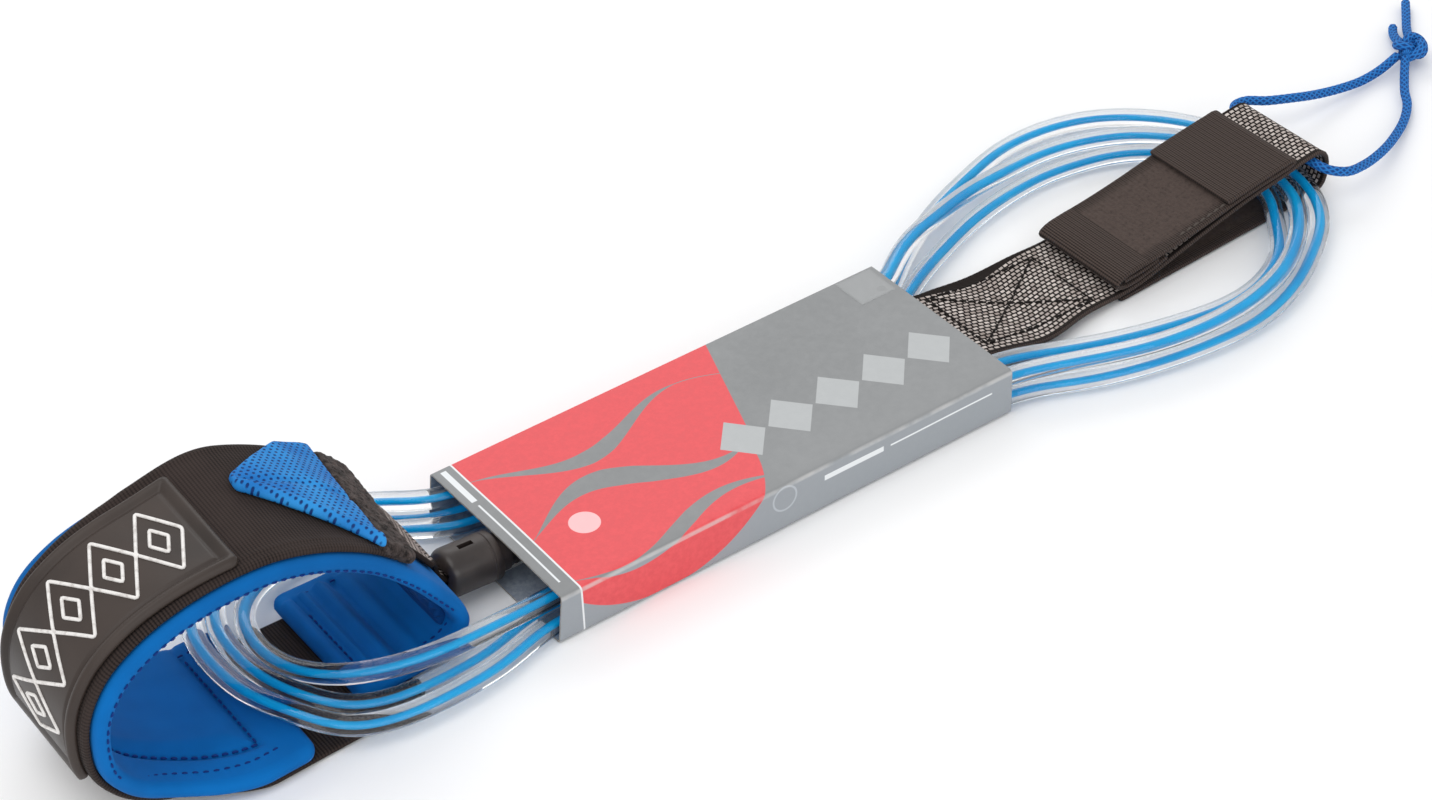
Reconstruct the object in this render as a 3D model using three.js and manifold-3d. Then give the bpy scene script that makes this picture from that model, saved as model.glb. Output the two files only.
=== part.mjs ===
// A surfboard leash packed for sale: three turns of clear urethane cord threaded through a flat card
// sleeve, with a padded ankle cuff standing at the left end and a webbing rail saver lying at the right end.
// Millimetres, +Z up. The origin is the centre of the sleeve's underside; +X runs along the sleeve to the
// rail saver, and +Y is the side that faces away from the front.
import * as THREE from 'three';
import { mergeVertices } from 'three/addons/utils/BufferGeometryUtils.js';
import Module from 'manifold-3d';

// ---- driving dimensions ----
const GAP = 0.3; // clearance between pieces that rest on each other

const SLEEVE = { length: 157, width: 66, height: 15.7, card: 0.6, fold: 1.2, slant: 1.8 };
const CORD = { diameter: 6, sides: 8, steps: 190 };
const STRING = { diameter: 3.1, sides: 8 };
const KNOT = { x: 305.5, y: 27, z: 5.4, radius: 5 };

const PAD = {
  thickness: 4.6, left: -209.8, right: -100, nearLeft: -25.6, nearRight: -21.9, farLeft: 28, farRight: 25.2,
};
const STRAP = { thickness: 1.6, nearInset: 2.6, farInset: 1.8, skew: 10.7 };
const CUFF_LIFT = 6; // how much higher the cuff's far lip stands than its near lip

const RAIL = { width: 36.4, thickness: 1.5, near: -14.9 };

const SWIVEL = {
  collar: 5.6, tip: 4.3, grooves: 3, bore: 5.6, pin: 1.7, head: 4.2, crossPin: 1.2, end: 2.8, crossAt: 5.5,
};
const CUFF_SWIVEL = { x: -96.6, y: 0.8, z: 9.6, tilt: 0.0756, barrel: 7.25, length: 17.2, horn: 17.4 };
const RAIL_SWIVEL = { x: 52, y: 2.5, z: 7.85, tilt: 0, barrel: 6.5, length: 16.6, horn: 16 };

// The cuff's outer face in the XZ plane, as one closed loop. It starts on the floor under the right wall and
// runs left along the floor, up the left wall, over the top and down the right wall.
const CUFF_LOOP = [
  [-119, 1.9], [-136, 1.9], [-154, 1.9], [-175, 1.9], [-184, 2.6], [-194, 5.8], [-203, 12.5], [-208.8, 22],
  [-209.8, 31], [-208, 41], [-202.2, 50], [-193.1, 56.2], [-181.6, 60], [-167.6, 61.5], [-153.5, 60.3],
  [-139.5, 55.5], [-125.5, 47], [-114.3, 36], [-105.7, 24.5], [-101.5, 18], [-99.9, 11.5], [-102.5, 6],
  [-107, 3], [-112, 2.2],
];

// The rail saver's layers in the XZ plane: the main webbing, the loop at its right end, and the closing strap.
const RAIL_WEBBING = [
  [46.5, 7.85], [52, 7.8], [78.3, 7.4], [90.7, 6.2], [107.2, 3.7], [125.3, 3.3], [137.7, 2.6], [147.6, 3.2],
  [159.1, 5.6], [170.7, 8.2], [193, 12.5], [210, 14.4],
];
const RAIL_END_LOOP = [
  [210.7, 14.6], [220.2, 15.9], [226, 15.8], [229.2, 12.8], [229.9, 7.4], [228.5, 2.9], [223.5, 0.8],
  [215.7, 0.8],
];
const RAIL_FOLD = [
  [156.4, 9.9], [145.9, 9.3], [140.2, 8.5], [137.7, 6.9], [139.8, 5.2], [145.1, 4.9], [152.5, 6.1],
  [159.1, 7.7],
];
const RAIL_ARM = [[157, 10], [170.7, 11.5], [193, 14.8], [213.2, 16.7]];
const RAIL_FLAP = [[211.6, 18.5], [197.9, 17.2], [184.7, 15.7]];

// The cord's route. Each station holds the three lanes: outer, middle and inner.
const RIGHT_BEND = [
  [[90, -32, 3.5], [90, -31.5, 9.8], [89, -20.5, 7.4]],
  [[103, -38.5, 3.5], [104, -37, 9.8], [101.5, -23.5, 5.4]],
  [[122, -44.5, 3.5], [122, -43.5, 9.8], [122, -29.5, 3.6]],
  [[142.5, -48, 3.5], [142, -46.5, 9.6], [142, -35, 3.5]],
  [[163.5, -48.5, 3.5], [161, -45.5, 9.2], [162.5, -38, 3.5]],
  [[183, -43, 3.6], [181.5, -39.5, 8.8], [180, -34.5, 3.6]],
  [[199.5, -34, 3.9], [197, -29.5, 8.4], [194, -25.5, 4]],
  [[212, -25, 4.6], [206.5, -20, 7.4], [201, -15.5, 4.8]],
  [[219.5, -14, 5.3], [213, -12, 6.2], [206, -10, 5.3]],
  [[223.3, -1.5, 5.4], [217, -1.5, 6], [210, -1.5, 5.4]],
  [[224.3, 11.5, 5.4], [218, 11.5, 5.8], [211, 11, 5.4]],
  [[223, 25, 5.4], [216.5, 24, 5.6], [209.2, 22.5, 5.4]],
  [[218, 40.5, 4.6], [208.5, 38, 4.6], [199, 34.5, 4.5]],
  [[208.5, 54.5, 3.8], [199, 49, 3.8], [189.5, 43, 3.8]],
  [[196.5, 64, 3.5], [186.5, 55.5, 3.5], [176.5, 47, 3.5]],
  [[180, 69, 3.5], [171.5, 59, 3.5], [163.5, 49, 3.5]],
  [[161.5, 69, 3.5], [155, 58.5, 3.7], [147, 48, 3.5]],
  [[144.5, 64, 3.5], [137.5, 55.5, 5.4], [129.5, 44.5, 3.5]],
  [[125.5, 57, 3.5], [118, 48.5, 8.2], [113, 38.5, 3.5]],
  [[108, 48, 3.5], [102, 42.5, 9.8], [96.5, 31.5, 3.5]],
  [[92.5, 37.5, 3.5], [89, 35, 9.9], [85.5, 25, 3.6]],
  [[79, 27.8, 3.7], [79, 27.8, 10], [77, 21.5, 3.7]],
];
const LEFT_BEND = [
  [[-80.5, 28.3, 3.7], [-80.5, 28.3, 10], [-80, 22, 3.7]],
  [[-91, 35.5, 3.6], [-91.5, 36.5, 9.9], [-88.5, 28.8, 3.6]],
  [[-103, 43, 3.5], [-104, 43.5, 9.8], [-101.5, 34.5, 3.6]],
  [[-119.5, 45, 3.6], [-119.5, 43.5, 9.9], [-118, 36.5, 3.8]],
  [[-136, 44, 4.8], [-134, 40, 10.1], [-131.5, 35, 4.6]],
  [[-149.5, 38.5, 8.2], [-144.5, 34, 10.8], [-140, 29.5, 6.1]],
  [[-158, 29.5, 10.2], [-152, 27, 10.9], [-145, 23.5, 7.8]],
  [[-162, 18.5, 10.2], [-155.5, 17.5, 10.5], [-148.5, 15.5, 8.7]],
  [[-162.5, 6, 10.2], [-156, 6, 10.3], [-149.5, 6, 9.1]],
  [[-161, -7, 10.2], [-154.5, -5.5, 10.2], [-148, -4, 9.9]],
  [[-155.5, -20, 10.6], [-149.5, -15.5, 9.2], [-143.5, -13.5, 11.3]],
  [[-145.5, -31.4, 7], [-141, -25.2, 6.9], [-135.5, -20.5, 12]],
  [[-131, -35.2, 5.1], [-129, -28.6, 5.3], [-124.5, -24.5, 11.7]],
  [[-114, -35.8, 4.8], [-114, -29, 4.7], [-112.5, -25.8, 10.8]],
  [[-97, -33.4, 3.7], [-97, -27, 3.7], [-95, -25.5, 10]],
  [[-84, -29.1, 3.6], [-84, -22.8, 3.6], [-82.5, -25.5, 9.9]],
];
// Inside the sleeve each turn steps over to the next lane, and the last stretch runs to the rail swivel.
const CROSSINGS = [
  [[-60.6, 0.8, 6.9], [-55.5, 1, 6.5], [-42, 0.2, 4.5], [-27.5, -3.5, 3.8], [-8.5, -10.5, 3.7],
    [12.5, -20, 3.7], [33, -27, 3.7], [53.5, -28.8, 3.7], [77, -28.7, 3.7]],
  [[-72, -28.4, 3.7], [-45.5, -28.6, 3.8], [-25, -29, 4.7], [-4, -29, 7.8], [16.5, -29, 10.3],
    [45.5, -28.8, 10.6], [77, -28.5, 10.2]],
  [[-70, -22.4, 3.7], [-49.5, -22.3, 3.9], [-29, -22, 5.6], [-8.5, -21.5, 9.2], [12.5, -20, 10.8],
    [37, -19, 10.7], [62, -18.8, 9.3], [76.5, -19.2, 8.2]],
  [[-70, -25.3, 10.2], [-58, -22.5, 10.8], [-43, -15, 11], [-27.5, -6.5, 10.9], [-11, -1, 9.8], [4, 2, 8.3],
    [18.2, 2.5, 7.85]],
];

// The hanging string's loop, from its knot along the near leg, through the webbing's end loop, and back.
const STRING_LOOP = [
  [300.2, 24.3, 4.6], [295.5, 20, 3.6], [288, 12.5, 2.4], [284, 7.5, 2], [276.5, 1.5, 2.1], [265, -5, 3.3],
  [253, -10.5, 5.4], [240.5, -14.5, 7.8], [231, -16, 10.3], [225, -13.5, 12.4], [223.6, -7.5, 13],
  [224, 5, 13], [224, 18, 13], [223.8, 27, 13], [226.3, 32.6, 12.8], [231.5, 32.8, 12.3], [238, 28.3, 11.3],
  [248, 26, 9.5], [259, 25.5, 6.6], [271, 25.5, 4.1], [282, 26, 2.5], [291, 26.5, 2.9], [299.3, 27.4, 4.4],
];
const TAIL_LONG = [[310, 31, 4.4], [313.5, 35.5, 3], [317.5, 40, 2.1], [324, 46.5, 1.9], [329.5, 52, 1.9]];
const TAIL_SHORT = [[306.6, 32.6, 4.2], [309, 37, 2.9], [312, 41, 1.9], [314.5, 43.5, 1.9]];

const COLOURS = {
  card: 0x9d978f, tape: 0xe8ecee, knit: 0x1b1c20, lining: 0x1f5fc4, webbing: 0x17181b, rubber: 0x202226,
  plastic: 0x141518, steel: 0xb9bcc0, urethane: 0x8fb4cf, string: 0x2f6fd0,
};

// ---- helpers ----
const wasm = await Module();
wasm.setup();

const { clamp, lerp, smoothstep } = THREE.MathUtils;

function ramp(x, start, end, from, to) {
  return lerp(from, to, clamp((x - start) / (end - start), 0, 1));
}

function piece(name, geometry, colour, roughness = 0.8, metalness = 0) {
  const material = new THREE.MeshStandardMaterial({ color: colour, roughness, metalness });
  const mesh = new THREE.Mesh(geometry, material);
  mesh.name = name;
  return mesh;
}

function toSolid(geometry) {
  const bare = geometry.clone();
  bare.deleteAttribute('normal');
  bare.deleteAttribute('uv');
  const merged = mergeVertices(bare, 1e-4);
  const vertProperties = new Float32Array(merged.attributes.position.array);
  const triVerts = new Uint32Array(merged.index.array);
  return new wasm.Manifold(new wasm.Mesh({ numProp: 3, vertProperties, triVerts }));
}

function toGeometry(solid) {
  const mesh = solid.getMesh();
  const geometry = new THREE.BufferGeometry();
  geometry.setAttribute('position', new THREE.BufferAttribute(new Float32Array(mesh.vertProperties), 3));
  geometry.setIndex(new THREE.BufferAttribute(new Uint32Array(mesh.triVerts), 1));
  geometry.computeVertexNormals();
  return geometry;
}

function cut(geometry, ...tools) {
  let solid = toSolid(geometry);
  for (const tool of tools) solid = solid.subtract(toSolid(tool));
  return toGeometry(solid);
}

// A smooth line in the XZ plane, or through space when its points have three numbers.
function curveThrough(points, closed = false) {
  const spots = points.map(([x, y, z = 0]) => new THREE.Vector3(x, y, z));
  const curve = new THREE.CatmullRomCurve3(spots, closed, 'centripetal');
  curve.arcLengthDivisions = 600;
  return curve;
}

// The outline of a layer that follows a line from one share of its length to another, between two offsets
// from it. Positive offsets lie on the left of the direction of travel.
function layerOutline(curve, from, to, low, high, count) {
  const offsetLine = (offset) => Array.from({ length: count + 1 }, (_, i) => {
    const share = lerp(from, to, i / count);
    const wrapped = share > 1 ? share - 1 : share;
    const spot = curve.getPointAt(wrapped);
    const way = curve.getTangentAt(wrapped);
    return new THREE.Vector2(spot.x - way.y * offset, spot.y + way.x * offset);
  });
  return new THREE.Shape([...offsetLine(low), ...offsetLine(high).reverse()]);
}

// Sweeps an outline in the XZ plane sideways. place(x, z, share) gives the spot in space at each share of the
// way from the near lip (0) to the far lip (1).
function sweepAcross(outline, steps, place) {
  const geometry = new THREE.ExtrudeGeometry(outline, { depth: 1, steps, bevelEnabled: false });
  const spots = geometry.attributes.position;
  for (let i = 0; i < spots.count; i += 1) {
    spots.setXYZ(i, ...place(spots.getX(i), spots.getY(i), 1 - spots.getZ(i)));
  }
  geometry.computeVertexNormals();
  return geometry;
}

function rope(points, { diameter, sides }, steps) {
  const section = new THREE.Shape();
  section.absarc(0, 0, diameter / 2, 0, 2 * Math.PI);
  const extrudePath = curveThrough(points);
  const options = { steps, curveSegments: sides / 2, bevelEnabled: false, extrudePath };
  return new THREE.ExtrudeGeometry(section, options);
}

// A turned piece whose axis is X, from a profile of [distance along the axis, radius].
function turned(profile, segments = 22) {
  const outline = profile.map(([along, radius]) => new THREE.Vector2(radius, along));
  const geometry = new THREE.LatheGeometry(outline, segments);
  return geometry.rotateZ(-Math.PI / 2);
}

// ---- card sleeve ----
function roundedRectangle(path, halfWidth, low, high, radius) {
  path.moveTo(-halfWidth + radius, low);
  path.lineTo(halfWidth - radius, low);
  path.absarc(halfWidth - radius, low + radius, radius, -Math.PI / 2, 0);
  path.lineTo(halfWidth, high - radius);
  path.absarc(halfWidth - radius, high - radius, radius, 0, Math.PI / 2);
  path.lineTo(-halfWidth + radius, high);
  path.absarc(-halfWidth + radius, high - radius, radius, Math.PI / 2, Math.PI);
  path.lineTo(-halfWidth, low + radius);
  path.absarc(-halfWidth + radius, low + radius, radius, Math.PI, 1.5 * Math.PI);
  return path;
}

function cardSleeve() {
  const { length, width, height, card, fold, slant } = SLEEVE;
  const outline = roundedRectangle(new THREE.Shape(), width / 2, 0, height, fold);
  outline.holes.push(roundedRectangle(new THREE.Path(), width / 2 - card, card, height - card, fold - card));
  const geometry = new THREE.ExtrudeGeometry(outline, { depth: length, bevelEnabled: false, curveSegments: 4 });
  geometry.translate(0, 0, -length / 2).rotateX(Math.PI / 2).rotateZ(Math.PI / 2);
  const spots = geometry.attributes.position;
  for (let i = 0; i < spots.count; i += 1) {
    const atLeftEnd = spots.getX(i) < 0;
    if (atLeftEnd) spots.setX(i, spots.getX(i) - slant * (1 - spots.getZ(i) / height));
  }
  return piece('card_sleeve', geometry, COLOURS.card, 0.75);
}

function sealSticker() {
  const size = 13;
  const inset = 1.5;
  const geometry = new THREE.BoxGeometry(size, size, GAP);
  const x = (SLEEVE.length - size) / 2 - inset;
  const y = (SLEEVE.width - size) / 2 - inset;
  geometry.translate(x, y, SLEEVE.height + 1.5 * GAP);
  return piece('seal_sticker', geometry, COLOURS.tape, 0.25);
}

// ---- cuff ----
const cuffLoop = curveThrough(CUFF_LOOP, true);

// The share of the loop's length at which it passes closest to a spot.
function loopShare(x, z) {
  const goal = new THREE.Vector3(x, z, 0);
  let best = 0;
  let bestDistance = Infinity;
  for (let i = 0; i < 2000; i += 1) {
    const distance = cuffLoop.getPointAt(i / 2000).distanceTo(goal);
    if (distance < bestDistance) {
      best = i / 2000;
      bestDistance = distance;
    }
  }
  return best;
}

const AT = {
  padLeftEnd: loopShare(-154, 1.9),
  padRightEnd: loopShare(-136.2, 1.9),
  split: loopShare(-149.6, 59.4),
  badgeTop: loopShare(-161, 61.3),
  badgeLow: loopShare(-208.3, 20.5),
  hem: loopShare(-120.8, 42.8),
  hemEnd: loopShare(-112.6, 34),
  tabTip: loopShare(-148.8, 59),
  hookStart: loopShare(-144, 57.4),
  pocketTop: loopShare(-121, 42.9),
  pocketLow: loopShare(-100.3, 14),
};

// Puts a spot of the loop's plane at a given Y, with the lift that the far side of the cuff has.
function onCuff(x, z, y) {
  const near = ramp(x, PAD.left, PAD.right, PAD.nearLeft, PAD.nearRight);
  const far = ramp(x, PAD.left, PAD.right, PAD.farLeft, PAD.farRight);
  const share = clamp((y - near) / (far - near), 0, 1);
  return [x, y, z + CUFF_LIFT * share * smoothstep(x, -178, -145) * smoothstep(z, 5, 35)];
}

// The spot at a share of the way across the cuff, inset from the pad's near and far lips.
function acrossCuff(nearInset, farInset) {
  return (x, z, share) => {
    const near = ramp(x, PAD.left, PAD.right, PAD.nearLeft, PAD.nearRight) + nearInset;
    const far = ramp(x, PAD.left, PAD.right, PAD.farLeft, PAD.farRight) - farInset;
    return onCuff(x, z, lerp(near, far, share));
  };
}

function cuffLayer(name, from, to, low, high, count, place, colour) {
  const outline = layerOutline(cuffLoop, from, to, low, high, count);
  return piece(name, sweepAcross(outline, 4, place), colour);
}

function cuffPad() {
  const from = AT.padLeftEnd;
  const to = 1 + AT.padRightEnd;
  return cuffLayer('cuff_pad', from, to, -PAD.thickness, 0, 60, acrossCuff(0, 0), COLOURS.knit);
}

// The strap's stretch on the floor lies turned towards the front.
function cuffStrap() {
  const straight = acrossCuff(STRAP.nearInset, STRAP.farInset);
  const place = (x, z, share) => {
    const [px, py, pz] = straight(x, z, share);
    return [px, py - STRAP.skew * smoothstep(x, -192, -166) * (1 - smoothstep(z, 5, 25)), pz];
  };
  return cuffLayer('cuff_strap', 0, AT.split, GAP, GAP + STRAP.thickness, 48, place, COLOURS.knit);
}

function strapEnd() {
  const from = AT.split + 0.001;
  const place = acrossCuff(STRAP.nearInset, STRAP.farInset);
  return cuffLayer('strap_end', from, AT.hem, 1.1, 2.4, 12, place, COLOURS.knit);
}

function hookPatch() {
  const place = acrossCuff(STRAP.nearInset + 2, STRAP.farInset + 2);
  return cuffLayer('hook_patch', AT.hookStart, AT.hem, 0.2, 0.85, 10, place, COLOURS.webbing);
}

function strapHem() {
  const from = AT.hem + 0.001;
  const to = AT.hemEnd;
  const place = acrossCuff(STRAP.nearInset, STRAP.farInset);
  return cuffLayer('strap_hem', from, to, GAP, 3.8, 5, place, COLOURS.knit);
}

function badgePatch() {
  const place = (x, z, share) => onCuff(x, z, lerp(-19.8, 19, share));
  return cuffLayer('badge_patch', AT.badgeTop, AT.badgeLow, 2.2, 4.2, 24, place, COLOURS.rubber);
}

function keyPocket() {
  const place = (x, z, share) => onCuff(x, z, lerp(-16, 19, share));
  const inside = -PAD.thickness - GAP;
  return cuffLayer('key_pocket', AT.pocketTop, AT.pocketLow, inside - 1.2, inside, 10, place, COLOURS.lining);
}

// A folded mesh tab that lies back over the strap. Its free edge slants.
function pullTab() {
  const base = -122.2;
  const tip = -148.6;
  const place = (x, z, share) => {
    const near = ramp(x, base, tip, -19, 10.7);
    const far = x > -130.4 ? ramp(x, base, -130.4, 23.1, 19) : ramp(x, -130.4, tip, 19, 11.7);
    return onCuff(x, z, lerp(near, far, share));
  };
  const outline = layerOutline(cuffLoop, AT.tabTip, loopShare(-121.8, 44), 2.7, 4.7, 10);
  return piece('pull_tab', sweepAcross(outline, 4, place), COLOURS.lining);
}

// The webbing on the cuff's right wall, which narrows into the swivel barrel and loops round its cross pin.
function cuffWebbing() {
  const { x, y, z, tilt } = CUFF_SWIVEL;
  const pinX = x + SWIVEL.crossAt;
  const pinZ = z - SWIVEL.crossAt * tilt;
  const line = curveThrough([
    [-111, 34.2], [-104.5, 25.2], [-100.2, 18.6], [-98.6, 13.4], [-96.9, 10.8], [-94.3, 9.7], [pinX, pinZ],
  ]);
  const place = (px, pz, share) => {
    const half = ramp(px, -104.5, -99, 12.5, 4.2);
    return onCuff(px, pz, y + lerp(-half, half, share));
  };
  const strip = sweepAcross(layerOutline(line, 0, 1, -0.7, 0.7, 22), 4, place);
  const eye = new THREE.CylinderGeometry(2.6, 2.6, 8.8, 20).translate(pinX, y, pinZ);
  const holeRadius = SWIVEL.crossPin + GAP;
  const hole = new THREE.CylinderGeometry(holeRadius, holeRadius, 12, 16).translate(pinX, y, pinZ);
  const looped = toGeometry(toSolid(strip).add(toSolid(eye)).subtract(toSolid(hole)));
  return piece('cuff_webbing', looped, COLOURS.webbing);
}

// ---- swivels ----
function barrel(name, { barrel: radius, length }) {
  const { bore, end, pin, crossPin, crossAt } = SWIVEL;
  const wallBore = Math.min(bore, radius - 1.4);
  const front = 2.2;
  const shell = turned([
    [0, 0], [0, 4.5], [0.4, 5.5], [1.4, radius - 0.6], [3, radius], [length - 0.6, radius],
    [length, radius - 0.6],
    [length, pin + GAP], [length - end, pin + GAP], [length - end, wallBore], [front, wallBore], [front, 0],
  ]);
  const slot = new THREE.BoxGeometry(8, 9.6, 5.4).translate(0, 0, 0.5);
  const holeRadius = crossPin + GAP;
  const pinHoles = new THREE.CylinderGeometry(holeRadius, holeRadius, 20, 16).translate(crossAt, 0, 0);
  const windowLength = 4.7;
  const window = new THREE.BoxGeometry(windowLength, 1.7, 6).translate(length / 2, 0, radius);
  return piece(name, cut(shell, slot, pinHoles, window), COLOURS.plastic, 0.4);
}

function crossPin(name, { barrel: radius }) {
  const { crossPin: pinRadius, crossAt } = SWIVEL;
  const pinLength = 2 * radius - 0.6;
  const geometry = new THREE.CylinderGeometry(pinRadius, pinRadius, pinLength, 16).translate(crossAt, 0, 0);
  return piece(name, geometry, COLOURS.steel, 0.3, 1);
}

function washer(name, { length, barrel: radius }) {
  const right = length - SWIVEL.end - GAP;
  const inner = SWIVEL.pin + GAP;
  const outer = Math.min(4.8, radius - 1.8);
  const face = right - 0.8;
  const ring = [[face, inner], [right, inner], [right, outer], [face, outer], [face, inner]];
  return piece(name, turned(ring.reverse(), 24), COLOURS.steel, 0.3, 1);
}

function swivelPin(name, { length }) {
  const { pin, head, end } = SWIVEL;
  const left = length - end - GAP - 0.8 - GAP - 1.5;
  const tip = length + GAP + 5.5;
  const profile = [
    [left, 0], [left, head - 0.3], [left + 0.3, head], [left + 1.5, head], [left + 1.5, pin], [tip, pin], [tip, 0],
  ];
  return piece(name, turned(profile, 20), COLOURS.steel, 0.3, 1);
}

function horn(name, { length, horn: hornLength }) {
  const { collar, tip, pin, grooves } = SWIVEL;
  const left = length + GAP;
  const profile = [
    [left + 6, 0], [left + 6, pin + GAP], [left, pin + GAP], [left, collar], [left + 3.2, collar],
  ];
  const pitch = 3.4;
  for (let i = 0; i < grooves; i += 1) {
    const along = left + 4.4 + i * pitch;
    const radius = ramp(along, left, left + hornLength, collar - 0.3, tip);
    profile.push([along, radius - 0.5], [along + 0.9, radius - 0.5], [along + 1.3, radius]);
    profile.push([along + pitch - 0.6, radius]);
  }
  profile.push([left + hornLength - 0.4, tip], [left + hornLength, tip - 0.4], [left + hornLength, 0]);
  return piece(name, turned(profile), COLOURS.plastic, 0.4);
}

function swivel(prefix, settings, turn) {
  const group = new THREE.Group();
  group.add(barrel(`${prefix}_barrel`, settings));
  group.add(crossPin(`${prefix}_cross_pin`, settings));
  group.add(washer(`${prefix}_washer`, settings));
  group.add(swivelPin(`${prefix}_swivel_pin`, settings));
  group.add(horn(`${prefix}_horn`, settings));
  group.position.set(settings.x, settings.y, settings.z);
  group.rotation.set(0, settings.tilt, turn);
  return group;
}

// ---- rail saver ----
// Its layers are one width, and they lie turned a little away from the front towards the right.
function acrossRail(x, z, share) {
  const near = x < 142.6 ? ramp(x, 89.8, 142.6, RAIL.near, -13.2) : ramp(x, 142.6, 229, -13.2, -9.3);
  return [x, near + RAIL.width * share, z];
}

function railLayer(name, points, count, colour = COLOURS.webbing) {
  const half = RAIL.thickness / 2;
  const outline = layerOutline(curveThrough(points), 0, 1, -half, half, count);
  return piece(name, sweepAcross(outline, 3, acrossRail), colour);
}

function railWebbing() {
  const { x, y, z } = RAIL_SWIVEL;
  const pinX = x - SWIVEL.crossAt;
  const half = RAIL.thickness / 2;
  const place = (px, pz, share) => {
    const [, nearY] = acrossRail(px, pz, 0);
    const near = ramp(px, 56, 80, y - 4, nearY);
    const far = ramp(px, 56, 80, y + 4, nearY + RAIL.width);
    return [px, lerp(near, far, share), pz];
  };
  const strip = sweepAcross(layerOutline(curveThrough(RAIL_WEBBING), 0, 1, -half, half, 40), 4, place);
  const eye = new THREE.CylinderGeometry(2.6, 2.6, 8, 20).translate(pinX, y, z);
  const holeRadius = SWIVEL.crossPin + GAP;
  const hole = new THREE.CylinderGeometry(holeRadius, holeRadius, 12, 16).translate(pinX, y, z);
  const webbing = toSolid(strip).add(toSolid(eye)).subtract(toSolid(hole));
  return piece('rail_webbing', toGeometry(webbing), COLOURS.webbing);
}

function railHookLayer() {
  const points = [[139.3, RAIL.thickness / 2], [176, RAIL.thickness / 2], [214.4, RAIL.thickness / 2]];
  return railLayer('rail_hook_layer', points, 6);
}

// ---- cord and string ----
function cordRoute() {
  const turns = [0, 1, 2].flatMap((lane) => [
    ...CROSSINGS[lane],
    ...RIGHT_BEND.map((station) => station[lane]),
    ...LEFT_BEND.map((station) => station[lane]),
  ]);
  return [...turns, ...CROSSINGS[3]];
}

function stringKnot() {
  const geometry = new THREE.SphereGeometry(KNOT.radius, 14, 10);
  geometry.scale(1.1, 1, 0.95).translate(KNOT.x, KNOT.y, KNOT.z);
  return piece('string_knot', geometry, COLOURS.string);
}

// ---- assembly ----
const group = new THREE.Group();
group.add(cardSleeve(), sealSticker());
group.add(cuffPad(), keyPocket(), cuffStrap(), badgePatch());
group.add(strapEnd(), hookPatch(), strapHem(), pullTab(), cuffWebbing());
group.add(swivel('cuff', CUFF_SWIVEL, 0), swivel('rail', RAIL_SWIVEL, Math.PI));
group.add(railWebbing(), railHookLayer());
group.add(railLayer('rail_end_loop', RAIL_END_LOOP, 26), railLayer('rail_strap_fold', RAIL_FOLD, 26));
group.add(railLayer('rail_strap', RAIL_ARM, 10), railLayer('rail_flap', RAIL_FLAP, 6));
group.add(piece('leash_cord', rope(cordRoute(), CORD, CORD.steps), COLOURS.urethane, 0.15));
group.add(piece('leash_string', rope(STRING_LOOP, STRING, 56), COLOURS.string), stringKnot());
group.add(piece('string_tail_long', rope(TAIL_LONG, STRING, 8), COLOURS.string));
group.add(piece('string_tail_short', rope(TAIL_SHORT, STRING, 6), COLOURS.string));

export default group;
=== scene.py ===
"""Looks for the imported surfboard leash: cords, cuff, swivels, rail saver and card sleeve.

Shapes are worked out in millimetres, in the frame of the CAD part, and scaled to metres when a mesh is made.
"""
import math

import bmesh
import bpy
import numpy as np
from mathutils import Matrix, Vector, noise


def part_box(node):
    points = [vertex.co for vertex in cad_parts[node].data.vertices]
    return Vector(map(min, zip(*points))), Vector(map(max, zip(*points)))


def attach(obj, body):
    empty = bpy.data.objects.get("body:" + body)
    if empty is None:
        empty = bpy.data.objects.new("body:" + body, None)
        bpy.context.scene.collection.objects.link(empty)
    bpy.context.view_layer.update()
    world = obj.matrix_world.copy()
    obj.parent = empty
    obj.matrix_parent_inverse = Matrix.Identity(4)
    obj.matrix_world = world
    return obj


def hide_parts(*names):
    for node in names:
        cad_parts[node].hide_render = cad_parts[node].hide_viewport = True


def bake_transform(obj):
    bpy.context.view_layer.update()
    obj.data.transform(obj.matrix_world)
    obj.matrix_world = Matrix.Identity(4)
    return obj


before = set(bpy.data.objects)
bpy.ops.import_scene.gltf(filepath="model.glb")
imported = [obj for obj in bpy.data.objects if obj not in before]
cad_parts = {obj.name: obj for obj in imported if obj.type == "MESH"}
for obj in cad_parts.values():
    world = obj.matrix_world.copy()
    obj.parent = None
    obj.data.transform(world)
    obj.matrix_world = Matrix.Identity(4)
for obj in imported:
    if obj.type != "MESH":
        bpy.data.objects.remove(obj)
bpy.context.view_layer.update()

MM = 0.001

# ---- camera ----
CAMERA_AT = (-391.05, -558.4, 568.4)
CAMERA_AZIMUTH = -34.79
CAMERA_ELEVATION = 38.64
CAMERA_ROLL = -2.34
CAMERA_LENS = 77.65


def make_camera():
    azimuth, elevation, roll = (math.radians(a) for a in (CAMERA_AZIMUTH, CAMERA_ELEVATION, CAMERA_ROLL))
    flat = math.cos(elevation)
    back = Vector((math.sin(azimuth) * flat, -math.cos(azimuth) * flat, math.sin(elevation)))
    right = Vector((math.cos(azimuth), math.sin(azimuth), 0))
    up = back.cross(right)
    turned_right = right * math.cos(roll) + up * math.sin(roll)
    turned_up = up * math.cos(roll) - right * math.sin(roll)
    rotation = Matrix((turned_right, turned_up, back)).transposed().to_4x4()
    data = bpy.data.cameras.new("camera")
    data.lens = CAMERA_LENS
    data.sensor_width = 36
    data.clip_start = 0.01
    camera = bpy.data.objects.new("camera", data)
    camera.matrix_world = Matrix.Translation(Vector(CAMERA_AT) * MM) @ rotation
    bpy.context.scene.collection.objects.link(camera)
    bpy.context.scene.camera = camera


make_camera()


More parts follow.
